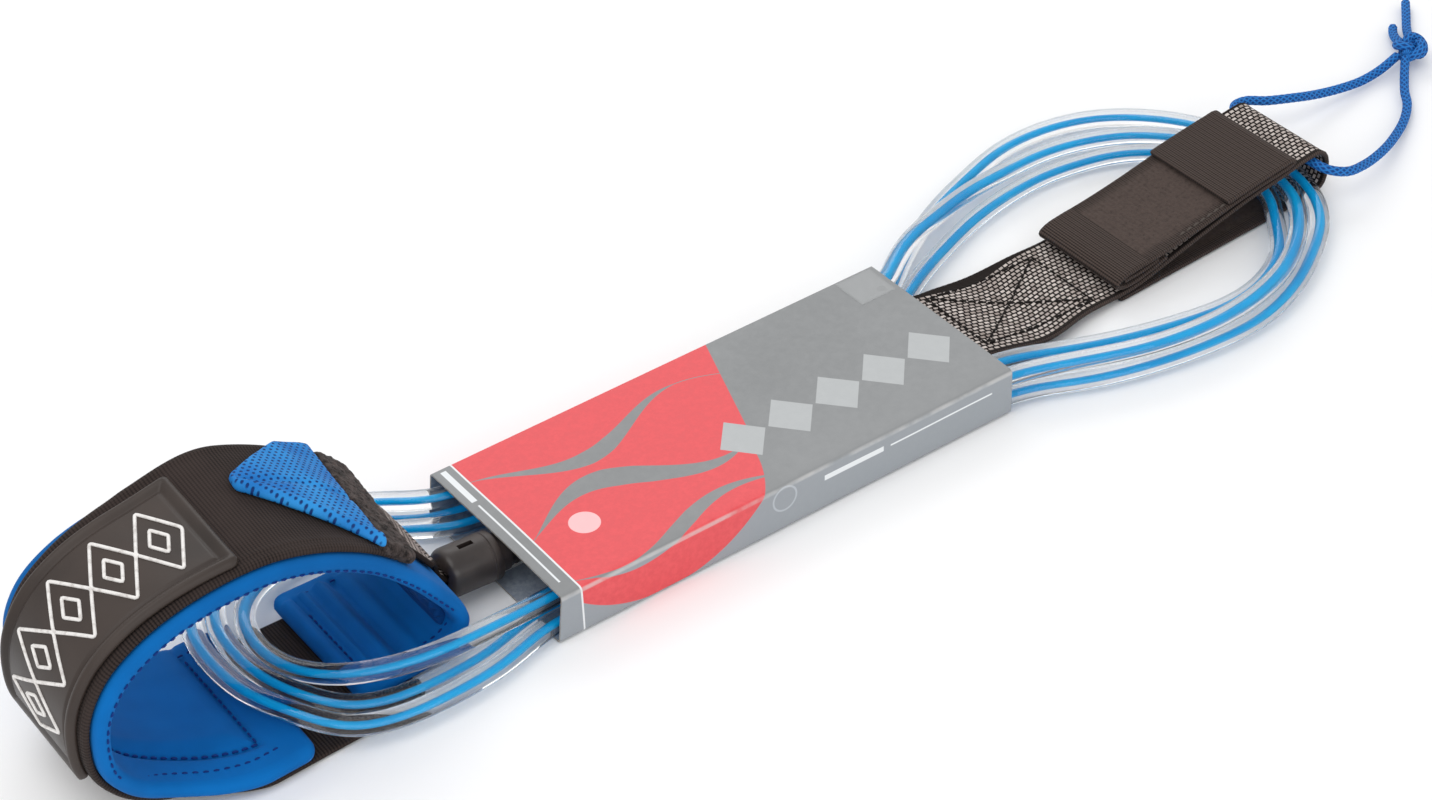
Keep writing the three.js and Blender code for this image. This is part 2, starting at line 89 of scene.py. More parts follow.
# ---- lines, in millimetres ----
def smooth_line(points, closed=False, per_span=28):
    """A centripetal Catmull-Rom line through the points."""
    spots = np.array(points, float)
    if closed:
        spots = np.vstack([spots[-1], spots, spots[0], spots[1]])
    else:
        spots = np.vstack([2 * spots[0] - spots[1], spots, 2 * spots[-1] - spots[-2]])
    parts = []
    for a, b, c, d in zip(spots, spots[1:], spots[2:], spots[3:]):
        knots = np.cumsum([0] + [np.linalg.norm(q - p) ** 0.5 for p, q in ((a, b), (b, c), (c, d))])
        t0, t1, t2, t3 = knots
        t = np.linspace(t1, t2, per_span, endpoint=False)[:, None]
        a1 = (t1 - t) / (t1 - t0) * a + (t - t0) / (t1 - t0) * b
        a2 = (t2 - t) / (t2 - t1) * b + (t - t1) / (t2 - t1) * c
        a3 = (t3 - t) / (t3 - t2) * c + (t - t2) / (t3 - t2) * d
        b1 = (t2 - t) / (t2 - t0) * a1 + (t - t0) / (t2 - t0) * a2
        b2 = (t3 - t) / (t3 - t1) * a2 + (t - t1) / (t3 - t1) * a3
        parts.append((t2 - t) / (t2 - t1) * b1 + (t - t1) / (t2 - t1) * b2)
    last = spots[1] if closed else spots[-2]
    return np.vstack([*parts, last])


def lengths_along(path):
    return np.concatenate([[0], np.cumsum(np.linalg.norm(np.diff(path, axis=0), axis=1))])


def at_lengths(path, wanted):
    along = lengths_along(path)
    return np.stack([np.interp(wanted, along, path[:, k]) for k in range(path.shape[1])], axis=1)


def evenly(path, step):
    total = lengths_along(path)[-1]
    return at_lengths(path, np.linspace(0, total, max(4, round(total / step)) + 1))


def eased(path, passes):
    """The path with its kinks smoothed out, its ends kept."""
    path = path.copy()
    for _ in range(passes):
        path[1:-1] = (path[:-2] + 2 * path[1:-1] + path[2:]) / 4
    return path


def smoothstep(x, low, high):
    t = np.clip((x - low) / (high - low), 0, 1)
    return t * t * (3 - 2 * t)


def ridge(x, centre, width):
    """1 at the centre, falling to 0 at width to either side."""
    return 0.5 + 0.5 * np.cos(np.pi * np.clip((x - centre) / width, -1, 1))


def bell(x, centre, width):
    """1 at the centre, falling off smoothly on both sides."""
    return np.exp(-(((x - centre) / width) ** 2))


def wobble(spots, scale, seed=0.0):
    """Smooth noise from -1 to 1 at each spot."""
    flat = np.asarray(spots, float).reshape(-1, 3) / scale + seed
    values = np.array([noise.noise(Vector(p)) for p in flat])
    return values.reshape(np.asarray(spots).shape[:-1])


# ---- meshes ----
def mesh_from(name, spots, faces, materials, face_slots=None, corner_uv=None):
    mesh = bpy.data.meshes.new(name)
    mesh.from_pydata((np.asarray(spots) * MM).tolist(), [], faces)
    for material in materials:
        mesh.materials.append(material)
    if face_slots is not None:
        mesh.polygons.foreach_set("material_index", np.asarray(face_slots, np.int32))
    if corner_uv is not None:
        layer = mesh.uv_layers.new(name="UVMap")
        layer.data.foreach_set("uv", np.asarray(corner_uv, np.float32).ravel())
    mesh.polygons.foreach_set("use_smooth", np.ones(len(mesh.polygons), bool))
    mesh.validate()
    mesh.update()
    piece = bpy.data.objects.new(name, mesh)
    bpy.context.scene.collection.objects.link(piece)
    return piece


def skin(name, grid, uv, materials, slots=None):
    """A closed skin over a grid of rings: rings follow each other, and each ring closes on itself.
    uv has one more column than the grid, so that it doesn't jump where a ring closes."""
    rings, sides = grid.shape[:2]
    i, j = np.meshgrid(np.arange(rings - 1), np.arange(sides), indexing="ij")
    following = (j + 1) % sides
    row, next_row = i * sides, (i + 1) * sides
    quads = np.stack([row + j, next_row + j, next_row + following, row + following], -1)
    corners = np.stack([uv[i, j], uv[i + 1, j], uv[i + 1, j + 1], uv[i, j + 1]], axis=-2)
    faces = quads.reshape(-1, 4).tolist()
    first = list(range(sides))
    last = [(rings - 1) * sides + k for k in reversed(range(sides))]
    faces += [first, last]
    corner_uv = np.vstack([corners.reshape(-1, 2), uv[0, :sides], uv[-1, :sides][::-1]])
    face_slots = np.zeros(len(faces), int)
    if slots is not None:
        face_slots[: len(faces) - 2] = np.broadcast_to(slots, (rings - 1, sides)).ravel()
        face_slots[-2:] = face_slots[0]
    return mesh_from(name, grid.reshape(-1, 3), faces, materials, face_slots, corner_uv)


def outward(piece, weld=False):
    """Turns every face of a closed piece outwards, after joining spots that meet if weld is set."""
    work = bmesh.new()
    work.from_mesh(piece.data)
    if weld:
        bmesh.ops.remove_doubles(work, verts=work.verts, dist=1e-6)
    bmesh.ops.recalc_face_normals(work, faces=work.faces)
    work.to_mesh(piece.data)
    work.free()
    return piece


def settle(piece, body, node=None):
    """The piece rides on a body, and may stand for a CAD node."""
    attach(piece, body)
    if node:
        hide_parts(node)


def rope_frames(path):
    """Unit vectors across a path, carried along it without twist."""
    tangents = np.gradient(path, axis=0)
    tangents /= np.linalg.norm(tangents, axis=1)[:, None]
    start = np.cross(tangents[0], [0, 0, 1.0])
    sideways = [start / np.linalg.norm(start)]
    for tangent in tangents[1:]:
        carried = sideways[-1] - tangent * (sideways[-1] @ tangent)
        sideways.append(carried / np.linalg.norm(carried))
    sideways = np.array(sideways)
    return tangents, sideways, np.cross(tangents, sideways)


ROUNDING = (0.35, 0.7, 0.92)  # how far out the rings of a rope's rounded end lie


def rope(name, path, radius, sides, materials, swell=None, rounded=True):
    """A closed tube along a path. swell(along, angle) is how far its surface stands out, in millimetres."""
    tangents, sideways, upwards = rope_frames(path)
    along = lengths_along(path)
    angle = np.linspace(0, 2 * np.pi, sides, endpoint=False)
    radii = np.full((len(path), sides), float(radius))
    if swell is not None:
        radii = radii + swell(along[:, None], angle[None, :])
    ring = sideways[:, None] * np.cos(angle)[None, :, None] + upwards[:, None] * np.sin(angle)[None, :, None]
    grid = path[:, None] + ring * radii[..., None]
    if rounded:
        def end_rings(at, way):
            forward = tangents[at] * way * radius / 2
            across = ring[at] * radii[at][:, None]
            return [path[at] + forward * share + across * math.sqrt(1 - share**2) for share in ROUNDING]

        grid = np.concatenate([end_rings(0, -1)[::-1], grid, end_rings(-1, 1)])
        along = np.concatenate([[0] * len(ROUNDING), along, [along[-1]] * len(ROUNDING)])
    turn = np.linspace(0, 2 * np.pi * radius, sides + 1)
    uv = np.stack(np.broadcast_arrays(along[:, None], turn[None, :]), axis=-1)
    return outward(skin(name, grid, uv, materials))


class Layer:
    """A stretch of a line in the XZ plane that a strip of cloth follows, with its lips across Y."""

    def __init__(self, line, start, end, lips, shift=None, lean=0.0):
        self.line = line
        self.lean = lean
        self.along = lengths_along(line)
        self.start, self.end = start, end
        self.lips = lips
        self.shift = shift
        tangent = np.gradient(line, self.along, axis=0)
        tangent /= np.linalg.norm(tangent, axis=1)[:, None]
        self.normal = np.stack([-tangent[:, 1], tangent[:, 0]], axis=1)

    def spot(self, s, offset, y):
        """The spot in space at a length along the line, an offset from it, and a Y."""
        s, offset, y = np.broadcast_arrays(np.asarray(s, float), offset, y)
        s = s + (self.lean(s) if callable(self.lean) else self.lean) * y
        x = np.interp(s, self.along, self.line[:, 0]) + offset * np.interp(s, self.along, self.normal[:, 0])
        z = np.interp(s, self.along, self.line[:, 1]) + offset * np.interp(s, self.along, self.normal[:, 1])
        spots = np.stack([x, y, z], axis=-1)
        return spots if self.shift is None else self.shift(spots)

    def lips_at(self, s):
        return self.lips(np.interp(s, self.along, self.line[:, 0]))

    def nearest(self, x, z):
        return self.along[np.argmin(np.hypot(self.line[:, 0] - x, self.line[:, 1] - z))]


EDGE_STEPS = 5  # rows round each long edge of a strip


def strip(name, layer, low, high, materials, *, step=1.2, across=30, corner=3.0, relief=None, slots=(0, 0, 0),
          round_ends=(True, True), from_lip=True):
    """A closed strip of cloth on a layer, between two offsets, with round edges and corners.
    relief(s, from_near, from_far, face) adds height on the outer (face 1) and inner (face -1) sides.
    slots are the material numbers of the inner side, the edges and the outer side.
    The second texture coordinate is the distance from the near lip, or else Y."""
    thick = high - low
    edge = thick / 2
    total = layer.end - layer.start
    close = np.array([0, 0.04, 0.12, 0.25, 0.45, 0.7, 1.0]) * corner
    middle = np.arange(corner + step, total - corner, step)
    s = np.concatenate([close, middle, total - close[::-1]])
    from_start = s if round_ends[0] else np.full_like(s, corner + edge)
    from_end = total - s if round_ends[1] else np.full_like(s, corner + edge)
    to_end = np.minimum(from_start, from_end)
    inset = corner - np.sqrt(np.clip(corner**2 - (corner - np.minimum(to_end, corner)) ** 2, 0, None))
    inset = np.minimum(inset, corner * 0.8)
    full = np.sqrt(np.clip(1 - (1 - np.minimum(to_end / edge, 1)) ** 2, 0.02, 1))
    s = s + layer.start
    flat = np.linspace(0, 1, across + 1)
    arc = np.linspace(0, np.pi, EDGE_STEPS + 2)[1:-1]
    share = np.concatenate([flat, np.ones(EDGE_STEPS), flat[::-1], np.zeros(EDGE_STEPS)])
    push = np.concatenate([np.zeros(across + 1), np.sin(arc), np.zeros(across + 1), -np.sin(arc)])
    level = np.concatenate([-np.ones(across + 1), -np.cos(arc), np.ones(across + 1), np.cos(arc)])
    s, full = s[:, None], full[:, None]
    near, far = layer.lips_at(s)
    inner_near, inner_far = near + inset[:, None] + edge, far - inset[:, None] - edge
    y = inner_near + (inner_far - inner_near) * share + push * edge
    offset = (low + high) / 2 + level * edge * full
    if relief is not None:
        offset = offset + relief(s, y - near, far - y, np.sign(level)) * level * full
    grid = layer.spot(s, offset, y)
    uv = np.stack([np.broadcast_to(s, y.shape), y - near if from_lip else y], axis=-1)
    uv = np.concatenate([uv, uv[:, :1]], axis=1)
    inner, edges, outer = slots
    columns = [inner] * across + [edges] * (EDGE_STEPS + 1) + [outer] * across + [edges] * (EDGE_STEPS + 1)
    return outward(skin(name, grid, uv, materials, np.array(columns)[None]))


STITCH_RINGS = ((-0.5, 0.35), (-0.38, 0.8), (0, 1), (0.38, 0.8), (0.5, 0.35))  # place and size of each ring
STITCH_SIDES = 6


def stitches(name, path, up, material, length=2.1, gap=0.9, radius=0.28):
    """A row of thread stitches along a path of spots, lying on a surface whose outward vectors are up."""
    along = lengths_along(path)
    centres = np.arange(length, along[-1], length + gap)
    middle = at_lengths(path, centres)
    before, after = np.maximum(centres - 0.5, 0), np.minimum(centres + 0.5, along[-1])
    ahead = at_lengths(path, after) - at_lengths(path, before)
    ahead /= np.linalg.norm(ahead, axis=1)[:, None]
    lift = np.stack([np.interp(centres, along, up[:, k]) for k in range(3)], axis=1)
    lift /= np.linalg.norm(lift, axis=1)[:, None]
    side = np.cross(ahead, lift)
    angle = np.linspace(0, 2 * np.pi, STITCH_SIDES, endpoint=False)
    spots, faces = [], []
    for m, t, n, b in zip(middle, ahead, lift, side):
        first = len(spots)
        for place, size in STITCH_RINGS:
            centre = m + t * length * place + n * radius * (0.35 - 1.6 * place**2)
            spots += [centre + (n * np.sin(a) + b * np.cos(a)) * radius * size for a in angle]
        rings = np.arange(first, len(spots)).reshape(len(STITCH_RINGS), STITCH_SIDES)
        for one, two in zip(rings, rings[1:]):
            faces += np.stack([one, np.roll(one, -1), np.roll(two, -1), two], axis=1).tolist()
        faces += [rings[0][::-1].tolist(), rings[-1].tolist()]
    return outward(mesh_from(name, np.array(spots), faces, [material]))


# ---- materials ----
def srgb(colour):
    """The linear colour of a red, green and blue triple from 0 to 255."""
    parts = (c / 255 for c in colour)
    return (*(c / 12.92 if c <= 0.04045 else ((c + 0.055) / 1.055) ** 2.4 for c in parts), 1.0)


class Wire:
    """An output socket of a look's nodes. Arithmetic on it adds math nodes, and | is the larger of two."""

    def __init__(self, look, socket):
        self.look = look
        self.socket = socket

    def math(self, operation, other=0.0):
        return self.look.out("Math", {0: self, 1: other}, operation=operation)

    def __add__(self, other):
        return self.math("ADD", other)

    def __sub__(self, other):
        return self.math("SUBTRACT", other)

    def __rsub__(self, other):
        return self.look.out("Math", {0: other, 1: self}, operation="SUBTRACT")

    def __mul__(self, other):
        return self.math("MULTIPLY", other)

    def __truediv__(self, other):
        return self.math("DIVIDE", other)

    def __mod__(self, other):
        return self.math("MODULO", other)

    def __or__(self, other):
        return self.math("MAXIMUM", other)

    def __abs__(self):
        return self.math("ABSOLUTE")


class Look:
    """A material whose nodes are added by short calls. A triple is a colour from 0 to 255."""

    def __init__(self, name, colour, roughness, **sockets):
        self.material = bpy.data.materials.new(name)
        self.material.use_nodes = True
        self.tree = self.material.node_tree
        self.shader = self.tree.nodes["Principled BSDF"]
        self.set(Base_Color=colour, Roughness=roughness, **sockets)

    def set(self, **sockets):
        """Gives each named socket of the shader a value or a wire."""
        for name, value in sockets.items():
            self.give(self.shader.inputs[name.replace("_", " ")], value)

    def give(self, socket, value):
        if isinstance(value, Wire):
            self.tree.links.new(value.socket, socket)
        elif isinstance(value, tuple) and len(value) == 3:
            socket.default_value = srgb(value)
        else:
            socket.default_value = value

    def out(self, kind, inputs, *wanted, **settings):
        """Adds a node and gives back its wanted outputs, or its first one."""
        made = self.tree.nodes.new("ShaderNode" + kind)
        for setting, value in settings.items():
            setattr(made, setting, value)
        for key, value in inputs.items():
            self.give(made.inputs[key], value)
        wires = [Wire(self, made.outputs[which]) for which in wanted or (0,)]
        return wires[0] if len(wires) == 1 else wires

    def uv(self):
        """The strip coordinates in millimetres: both as a vector, along, across."""
        source = self.out("UVMap", {}, uv_map="UVMap")
        return source, *self.out("SeparateXYZ", {0: source}, 0, 1)

    def noise(self, scale, detail=4.0, rough=0.55):
        place = self.out("TexCoord", {}, "Object")
        return self.out("TexNoise", {"Vector": place, "Scale": scale, "Detail": detail, "Roughness": rough})

    def mix(self, share, a, b):
        return self.out("Mix", {0: share, 6: a, 7: b}, 2, data_type="RGBA")

    def ranged(self, value, low, high, to_low=0.0, to_high=1.0, kind="SMOOTHSTEP"):
        inputs = {"Value": value, "From Min": low, "From Max": high, "To Min": to_low, "To Max": to_high}
        return self.out("MapRange", inputs, interpolation_type=kind)

    def tint(self, value, low, high, first, second):
        """The base colour goes from the first to the second as the value goes from low to high."""
        self.set(Base_Color=self.mix(self.ranged(value, low, high), first, second))

    def bump(self, height, strength, distance):
        self.set(Normal=self.out("Bump", {"Height": height, "Strength": strength, "Distance": distance}))


def wave(value, pitch):
    return (value * (2 * math.pi / pitch)).math("SINE")


def ribs_of(value, pitch):
    return abs((value * (math.pi / pitch)).math("SINE"))


def from_middle(x, y):
    return (x * x + y * y).math("SQRT")


def urethane():
    look = Look("clear_urethane", (255, 255, 255), 0.05, IOR=1.44, Transmission_Weight=1.0, Alpha=0.88)
    look.set(Roughness=look.ranged(look.noise(260.0), 0.5, 0.75, 0.02, 0.08))
    look.bump(look.noise(60.0, 2.0), 0.03, 0.0002)
    return look.material


def core():
    # The core glows a little: painted light, standing for the light that passes through the clear tube onto
    # it.
    look = Look("blue_core", (0, 160, 226), 0.5, Specular_IOR_Level=0.2, Emission_Color=(0, 140, 225),
                Emission_Strength=0.14)
    look.tint(look.noise(40.0), 0.3, 0.7, (0, 156, 218), (0, 178, 234))
    return look.material


def knit():
    look = Look("black_knit", (40, 35, 33), 0.85, Specular_IOR_Level=0.12, Sheen_Weight=0.04)
    _, along, across = look.uv()
    height = wave(across, 0.7) * 0.18 + ribs_of(along, 0.95)
    # Painted shade and highlight: the knit is darker in the hollows between its ribs and loops, and lighter on
    # their raised tops.
    dark = look.mix(look.ranged(height, 0.2, 1.0), (24, 19, 18), (54, 45, 42))
    worn = look.ranged(look.noise(35.0, 3.0), 0.35, 0.75, 0.0, 0.5)
    look.set(Base_Color=look.mix(worn, dark, (64, 54, 51)))
    look.bump(look.noise(900.0, 6.0) * 0.5 + height, 0.5, 0.00018)
    return look.material


def lining(name="blue_lining", light=(0, 106, 182), deep=(0, 88, 156)):
    look = Look(name, light, 0.75, Specular_IOR_Level=0.12, Sheen_Weight=0.02)
    shade = look.noise(26.0, 3.0)
    look.tint(shade, 0.3, 0.72, deep, light)
    look.bump(shade * 2.0 + look.noise(1400.0, 5.0), 0.22, 0.00012)
    return look.material


def thread(name, colour):
    look = Look(name, colour, 0.7, Specular_IOR_Level=0.2)
    twist = look.noise(1500.0, 2.0)
    darker = (*(0.6 * c for c in srgb(colour)[:3]), 1.0)
    look.set(Base_Color=look.mix(twist, darker, colour))
    look.bump(twist, 0.5, 0.0001)
    return look.material


def rubber():
    look = Look("badge_rubber", (60, 51, 47), 0.45, Specular_IOR_Level=0.35)
    smears = look.noise(30.0, 3.0)
    look.tint(smears, 0.3, 0.75, (44, 36, 32), (62, 52, 47))
    look.set(Roughness=look.ranged(smears, 0.3, 0.8, 0.34, 0.55))
    look.bump(look.noise(700.0), 0.18, 0.0001)
    return look.material


def enamel():
    look = Look("white_enamel", (226, 222, 218), 0.4)
    spots = look.noise(500.0)
    look.tint(spots, 0.45, 0.75, (232, 229, 226), (196, 190, 186))
    look.bump(spots, 0.1, 0.0001)
    return look.material


def fleece():
    look = Look("dark_fleece", (48, 42, 40), 0.95, Specular_IOR_Level=0.1, Sheen_Weight=0.08)
    tufts = look.noise(420.0, 8.0, 0.75)
    # Painted shade and highlight: the tufts that stand up are lighter and the hollows between them darker.
    look.tint(tufts, 0.35, 0.68, (20, 16, 15), (86, 76, 73))
    look.bump(tufts, 0.8, 0.0005)
    return look.material


def mesh_cloth():
    """Blue cloth with rows of holes, each row half a hole's pitch from the next; the holes are painted dark
    blue as the shade seen through them.
    """
    look = Look("blue_mesh", (28, 120, 200), 0.65, Specular_IOR_Level=0.25)
    pitch, row_pitch = 2.0, 1.25
    _, along, across = look.uv()
    rows = across / row_pitch
    shift = rows.math("FLOOR") % 2.0 * (pitch / 2)
    x = ((along + shift) / pitch).math("FRACT") - 0.5
    y = rows.math("FRACT") - 0.5
    yarn = look.ranged(from_middle(x * 2.0, y * 1.5), 0.2, 0.55)
    cloth = look.mix(look.ranged(look.noise(60.0, 2.0), 0.3, 0.7), (12, 106, 184), (40, 140, 212))
    # Painted shade: the holes are dark blue, standing for the shade seen through them.
    look.set(Base_Color=look.mix(yarn, (4, 44, 110), cloth))
    look.bump(yarn, 0.9, 0.0004)
    return look.material


RAIL_WIDTH = 36.4


def woven():
    """Pale and grey strands over black, with a plain black selvedge."""
    look = Look("woven_webbing", (30, 26, 25), 0.8, Specular_IOR_Level=0.15)
    vector, _, across = look.uv()
    inputs = {"Vector": vector, "Color1": (214, 204, 198), "Color2": (160, 148, 142), "Mortar": (30, 24, 22),
              "Scale": 1.0, "Mortar Size": 0.34, "Mortar Smooth": 0.25, "Brick Width": 2.1, "Row Height": 1.6}
    strands, gaps = look.out("TexBrick", inputs, 0, 1, offset=0.5)
    selvedge = RAIL_WIDTH / 2 - 1.5
    at_edge = look.ranged(abs(across - RAIL_WIDTH / 2), selvedge, selvedge + 0.3)
    look.set(Base_Color=look.mix(at_edge, strands, (34, 28, 26)))
    look.bump(wave(across, 0.37) * 0.12 + (1.0 - gaps), 0.8, 0.0003)
    return look.material


def ribbed(name="black_webbing", fuzzy=False):
    look = Look(name, (44, 37, 34), 0.8, Specular_IOR_Level=0.15, Sheen_Weight=0.05)
    _, along, across = look.uv()
    height = wave(across, 0.9) * 0.2 + ribs_of(along, 0.8)
    fuzz = look.noise(800.0, 8.0, 0.75)
    if fuzzy:
        middle = look.ranged(abs(across - RAIL_WIDTH / 2), 12.0, 16.5, 1.0, 0.12)
        height = height * (1.0 - middle) + fuzz * middle * 2.2
    else:
        height = fuzz * 0.35 + height
    # Painted shade and highlight: the webbing is darker where its ribs and fuzz lie low, and lighter where
    # they stand up.
    look.tint(height, 0.25, 1.3, (28, 22, 20), (78, 66, 61))
    look.bump(height, 0.6, 0.00025)
    return look.material


def plastic():
    look = Look("black_plastic", (48, 42, 40), 0.38)
    marks = look.noise(90.0)
    look.set(Roughness=look.ranged(marks, 0.35, 0.7, 0.3, 0.5))
    look.tint(marks, 0.4, 0.8, (44, 37, 35), (64, 55, 52))
    look.bump(look.noise(900.0, 3.0), 0.12, 0.0001)
    return look.material


def steel(name="brushed_steel", shade=0.55):
    look = Look(name, (shade, shade, shade, 1), 0.3, Metallic=1.0)
    brushed = look.noise(700.0, 3.0)
    look.set(Roughness=look.ranged(brushed, 0.3, 0.7, 0.22, 0.42))
    look.bump(brushed, 0.1, 0.00008)
    return look.material


BRAID_TWIST = 2.6  # radians for each millimetre along the string


def braid():
    look = Look("blue_braid", (36, 108, 190), 0.65, Specular_IOR_Level=0.25)
    _, along, around = look.uv()
    along, around = along * BRAID_TWIST, around * 3.9
    strands = (along + around).math("SINE") | (along - around).math("SINE")
    # Painted shade and highlight: the braid is darker in the grooves between its strands and lighter on their
    # crowns.
    look.tint(strands, -0.1, 0.9, (8, 62, 128), (34, 118, 196))
    look.bump(look.noise(1500.0, 3.0) * 0.3 + strands, 0.5, 0.0002)
    return look.material


def tape():
    look = Look("clear_tape", (0.75, 0.77, 0.78, 1), 0.15, Alpha=0.12, IOR=1.4)
    creases = look.noise(120.0, 3.0)
    look.set(Roughness=look.ranged(creases, 0.3, 0.7, 0.08, 0.25))
    look.bump(creases, 0.35, 0.0002)
    return look.material


# The sleeve's print, in millimetres along the sleeve and across the unrolled card, 0 in the top's middle.
CARD_EDGE = 33.0  # where the top folds down into the sides
PRINT_LINE = -72.2
DISC_X, DISC_Y, DISC_RADIUS = -44.0, -4.0, 44.0
WAVES = ((17.0, 3.0, 6.0), (-6.0, 4.4, 7.5), (-29.0, 2.6, 5.0))  # level, half thickness, swell
DIAMONDS = {"left": -9.0, "lower": -18.8, "pitch": 16.9, "width": 16.0, "height": 18.6, "count": 5}
SIDE_MARKS = -37.3


def printed_card():
    """Grey card with a coral field and plain shapes, rubbed pale along its folds."""
    look = Look("printed_card", (150, 150, 149), 0.5)
    _, x, y = look.uv()
    fibres = look.noise(420.0, 6.0, 0.7)
    cloudy = look.noise(14.0, 3.0)

    def within(value, low, high, soft=0.08):
        return look.ranged(value, low - soft, low + soft) * look.ranged(value, high + soft, high - soft)

    def bar(x0, x1, y0, y1):
        return within(x, x0, x1) * within(y, y0, y1)

    def from_spot(spot_x, spot_y):
        return from_middle(x - spot_x, y - spot_y)

    def coral_field():
        """A disc that runs on to the far edge, right of the white line, with three plain waves left out."""
        flare = look.ranged(x - y * 0.35, 5.2, 5.0) * look.ranged(y, -6.2, -6.0)
        disc = look.ranged(from_spot(DISC_X, DISC_Y), DISC_RADIUS + 0.1, DISC_RADIUS - 0.1)
        field = (disc | flare) * look.ranged(x, PRINT_LINE, PRINT_LINE + 0.1)
        for level, thick, swell in WAVES:
            line = (x * 0.085 + level * 0.11).math("SINE") * swell + level
            taper = look.ranged(abs(x + 36.0), 34.0, 4.0, 0.15, thick, "LINEAR")
            field = field * (1.0 - look.ranged(abs(y - line) - taper, 0.1, -0.1))
        return field

    def diamond_row():
        step = x - DIAMONDS["left"]
        half_width, half_height = DIAMONDS["width"] / 2, DIAMONDS["height"] / 2
        end = DIAMONDS["count"] * DIAMONDS["pitch"]
        row = look.ranged(step, -0.1, 0.1) * look.ranged(step, end, end - 0.1)
        aside = abs(step % DIAMONDS["pitch"] - half_width)
        above = abs(y - (DIAMONDS["lower"] + half_height))
        return row * look.ranged(aside / half_width + above / half_height, 1.0, 0.985)

    base = look.mix(look.ranged(y, -33.6, -32.6), (146, 152, 158), (130, 132, 133))
    base = look.mix(look.ranged(cloudy, 0.3, 0.7, 0.0, 0.25), base, (158, 160, 162))
    coral = coral_field()
    coral_ink = look.mix(look.ranged(fibres, 0.35, 0.7), (218, 70, 76), (228, 84, 89))
    ring = within(from_spot(-4.0, SIDE_MARKS), 3.7, 4.3)
    dot = look.ranged(from_spot(-56.5, -11.5), 4.6, 4.4)
    side_bars = bar(10.0, 31.0, SIDE_MARKS - 0.9, SIDE_MARKS + 0.9)
    side_bars = side_bars | bar(33.5, 71.0, SIDE_MARKS - 0.3, SIDE_MARKS + 0.3)
    strip_bars = bar(-76.4, -74.6, 14.5, 31.0) | bar(-75.8, -75.2, -27.5, 12.5)
    border = within(x, PRINT_LINE - 0.28, PRINT_LINE + 0.28, 0.06)
    worn = within(y, -33.9, -32.7, 0.35) | within(y, 32.9, 34.0, 0.35)
    rubbed = worn * look.ranged(look.noise(90.0, 5.0), 0.3, 0.62)
    printed = base
    for share, ink in (
        (coral, coral_ink), (diamond_row(), (176, 179, 180)), (ring, (176, 182, 188)),
        (dot * coral, (249, 190, 192)),
        (side_bars | strip_bars | border, (228, 231, 233)), (rubbed * 0.55, (206, 204, 202)),
    ):
        printed = look.mix(share, printed, ink)
    look.set(Base_Color=printed, Roughness=look.ranged(fibres, 0.3, 0.7, 0.42, 0.58))
    look.bump(cloudy * 3.0 + fibres, 0.12, 0.0002)
    return look.material


def raw_card(name="raw_card", light=(172, 168, 162), deep=(128, 120, 112)):
    look = Look(name, light, 0.85)
    pulp = look.noise(600.0, 7.0, 0.7)
    look.tint(pulp, 0.3, 0.7, deep, light)
    look.bump(pulp, 0.3, 0.00015)
    return look.material


URETHANE, CORE, KNIT, LINING = urethane(), core(), knit(), lining()
# A darker copy of the lining for the key pocket: painted shade, where the pocket lies deep inside the cuff.
SHADED_LINING = lining("shaded_blue_lining", (4, 66, 128), (2, 48, 98))
RUBBER, ENAMEL, FLEECE, MESH = rubber(), enamel(), fleece(), mesh_cloth()
WOVEN, RIBBED, FUZZY = woven(), ribbed(), ribbed("fuzzy_webbing", fuzzy=True)
PLASTIC, STEEL, DARK_STEEL, BRAID, TAPE = plastic(), steel(), steel("black_steel", 0.03), braid(), tape()
CARD, RAW_CARD = printed_card(), raw_card()
INSIDE_CARD = raw_card("card_inside", (150, 158, 168), (122, 130, 142))
BLUE_THREAD, BLACK_THREAD = thread("blue_thread", (6, 52, 128)), thread("black_thread", (30, 26, 24))
GREY_THREAD = thread("grey_thread", (92, 84, 79))

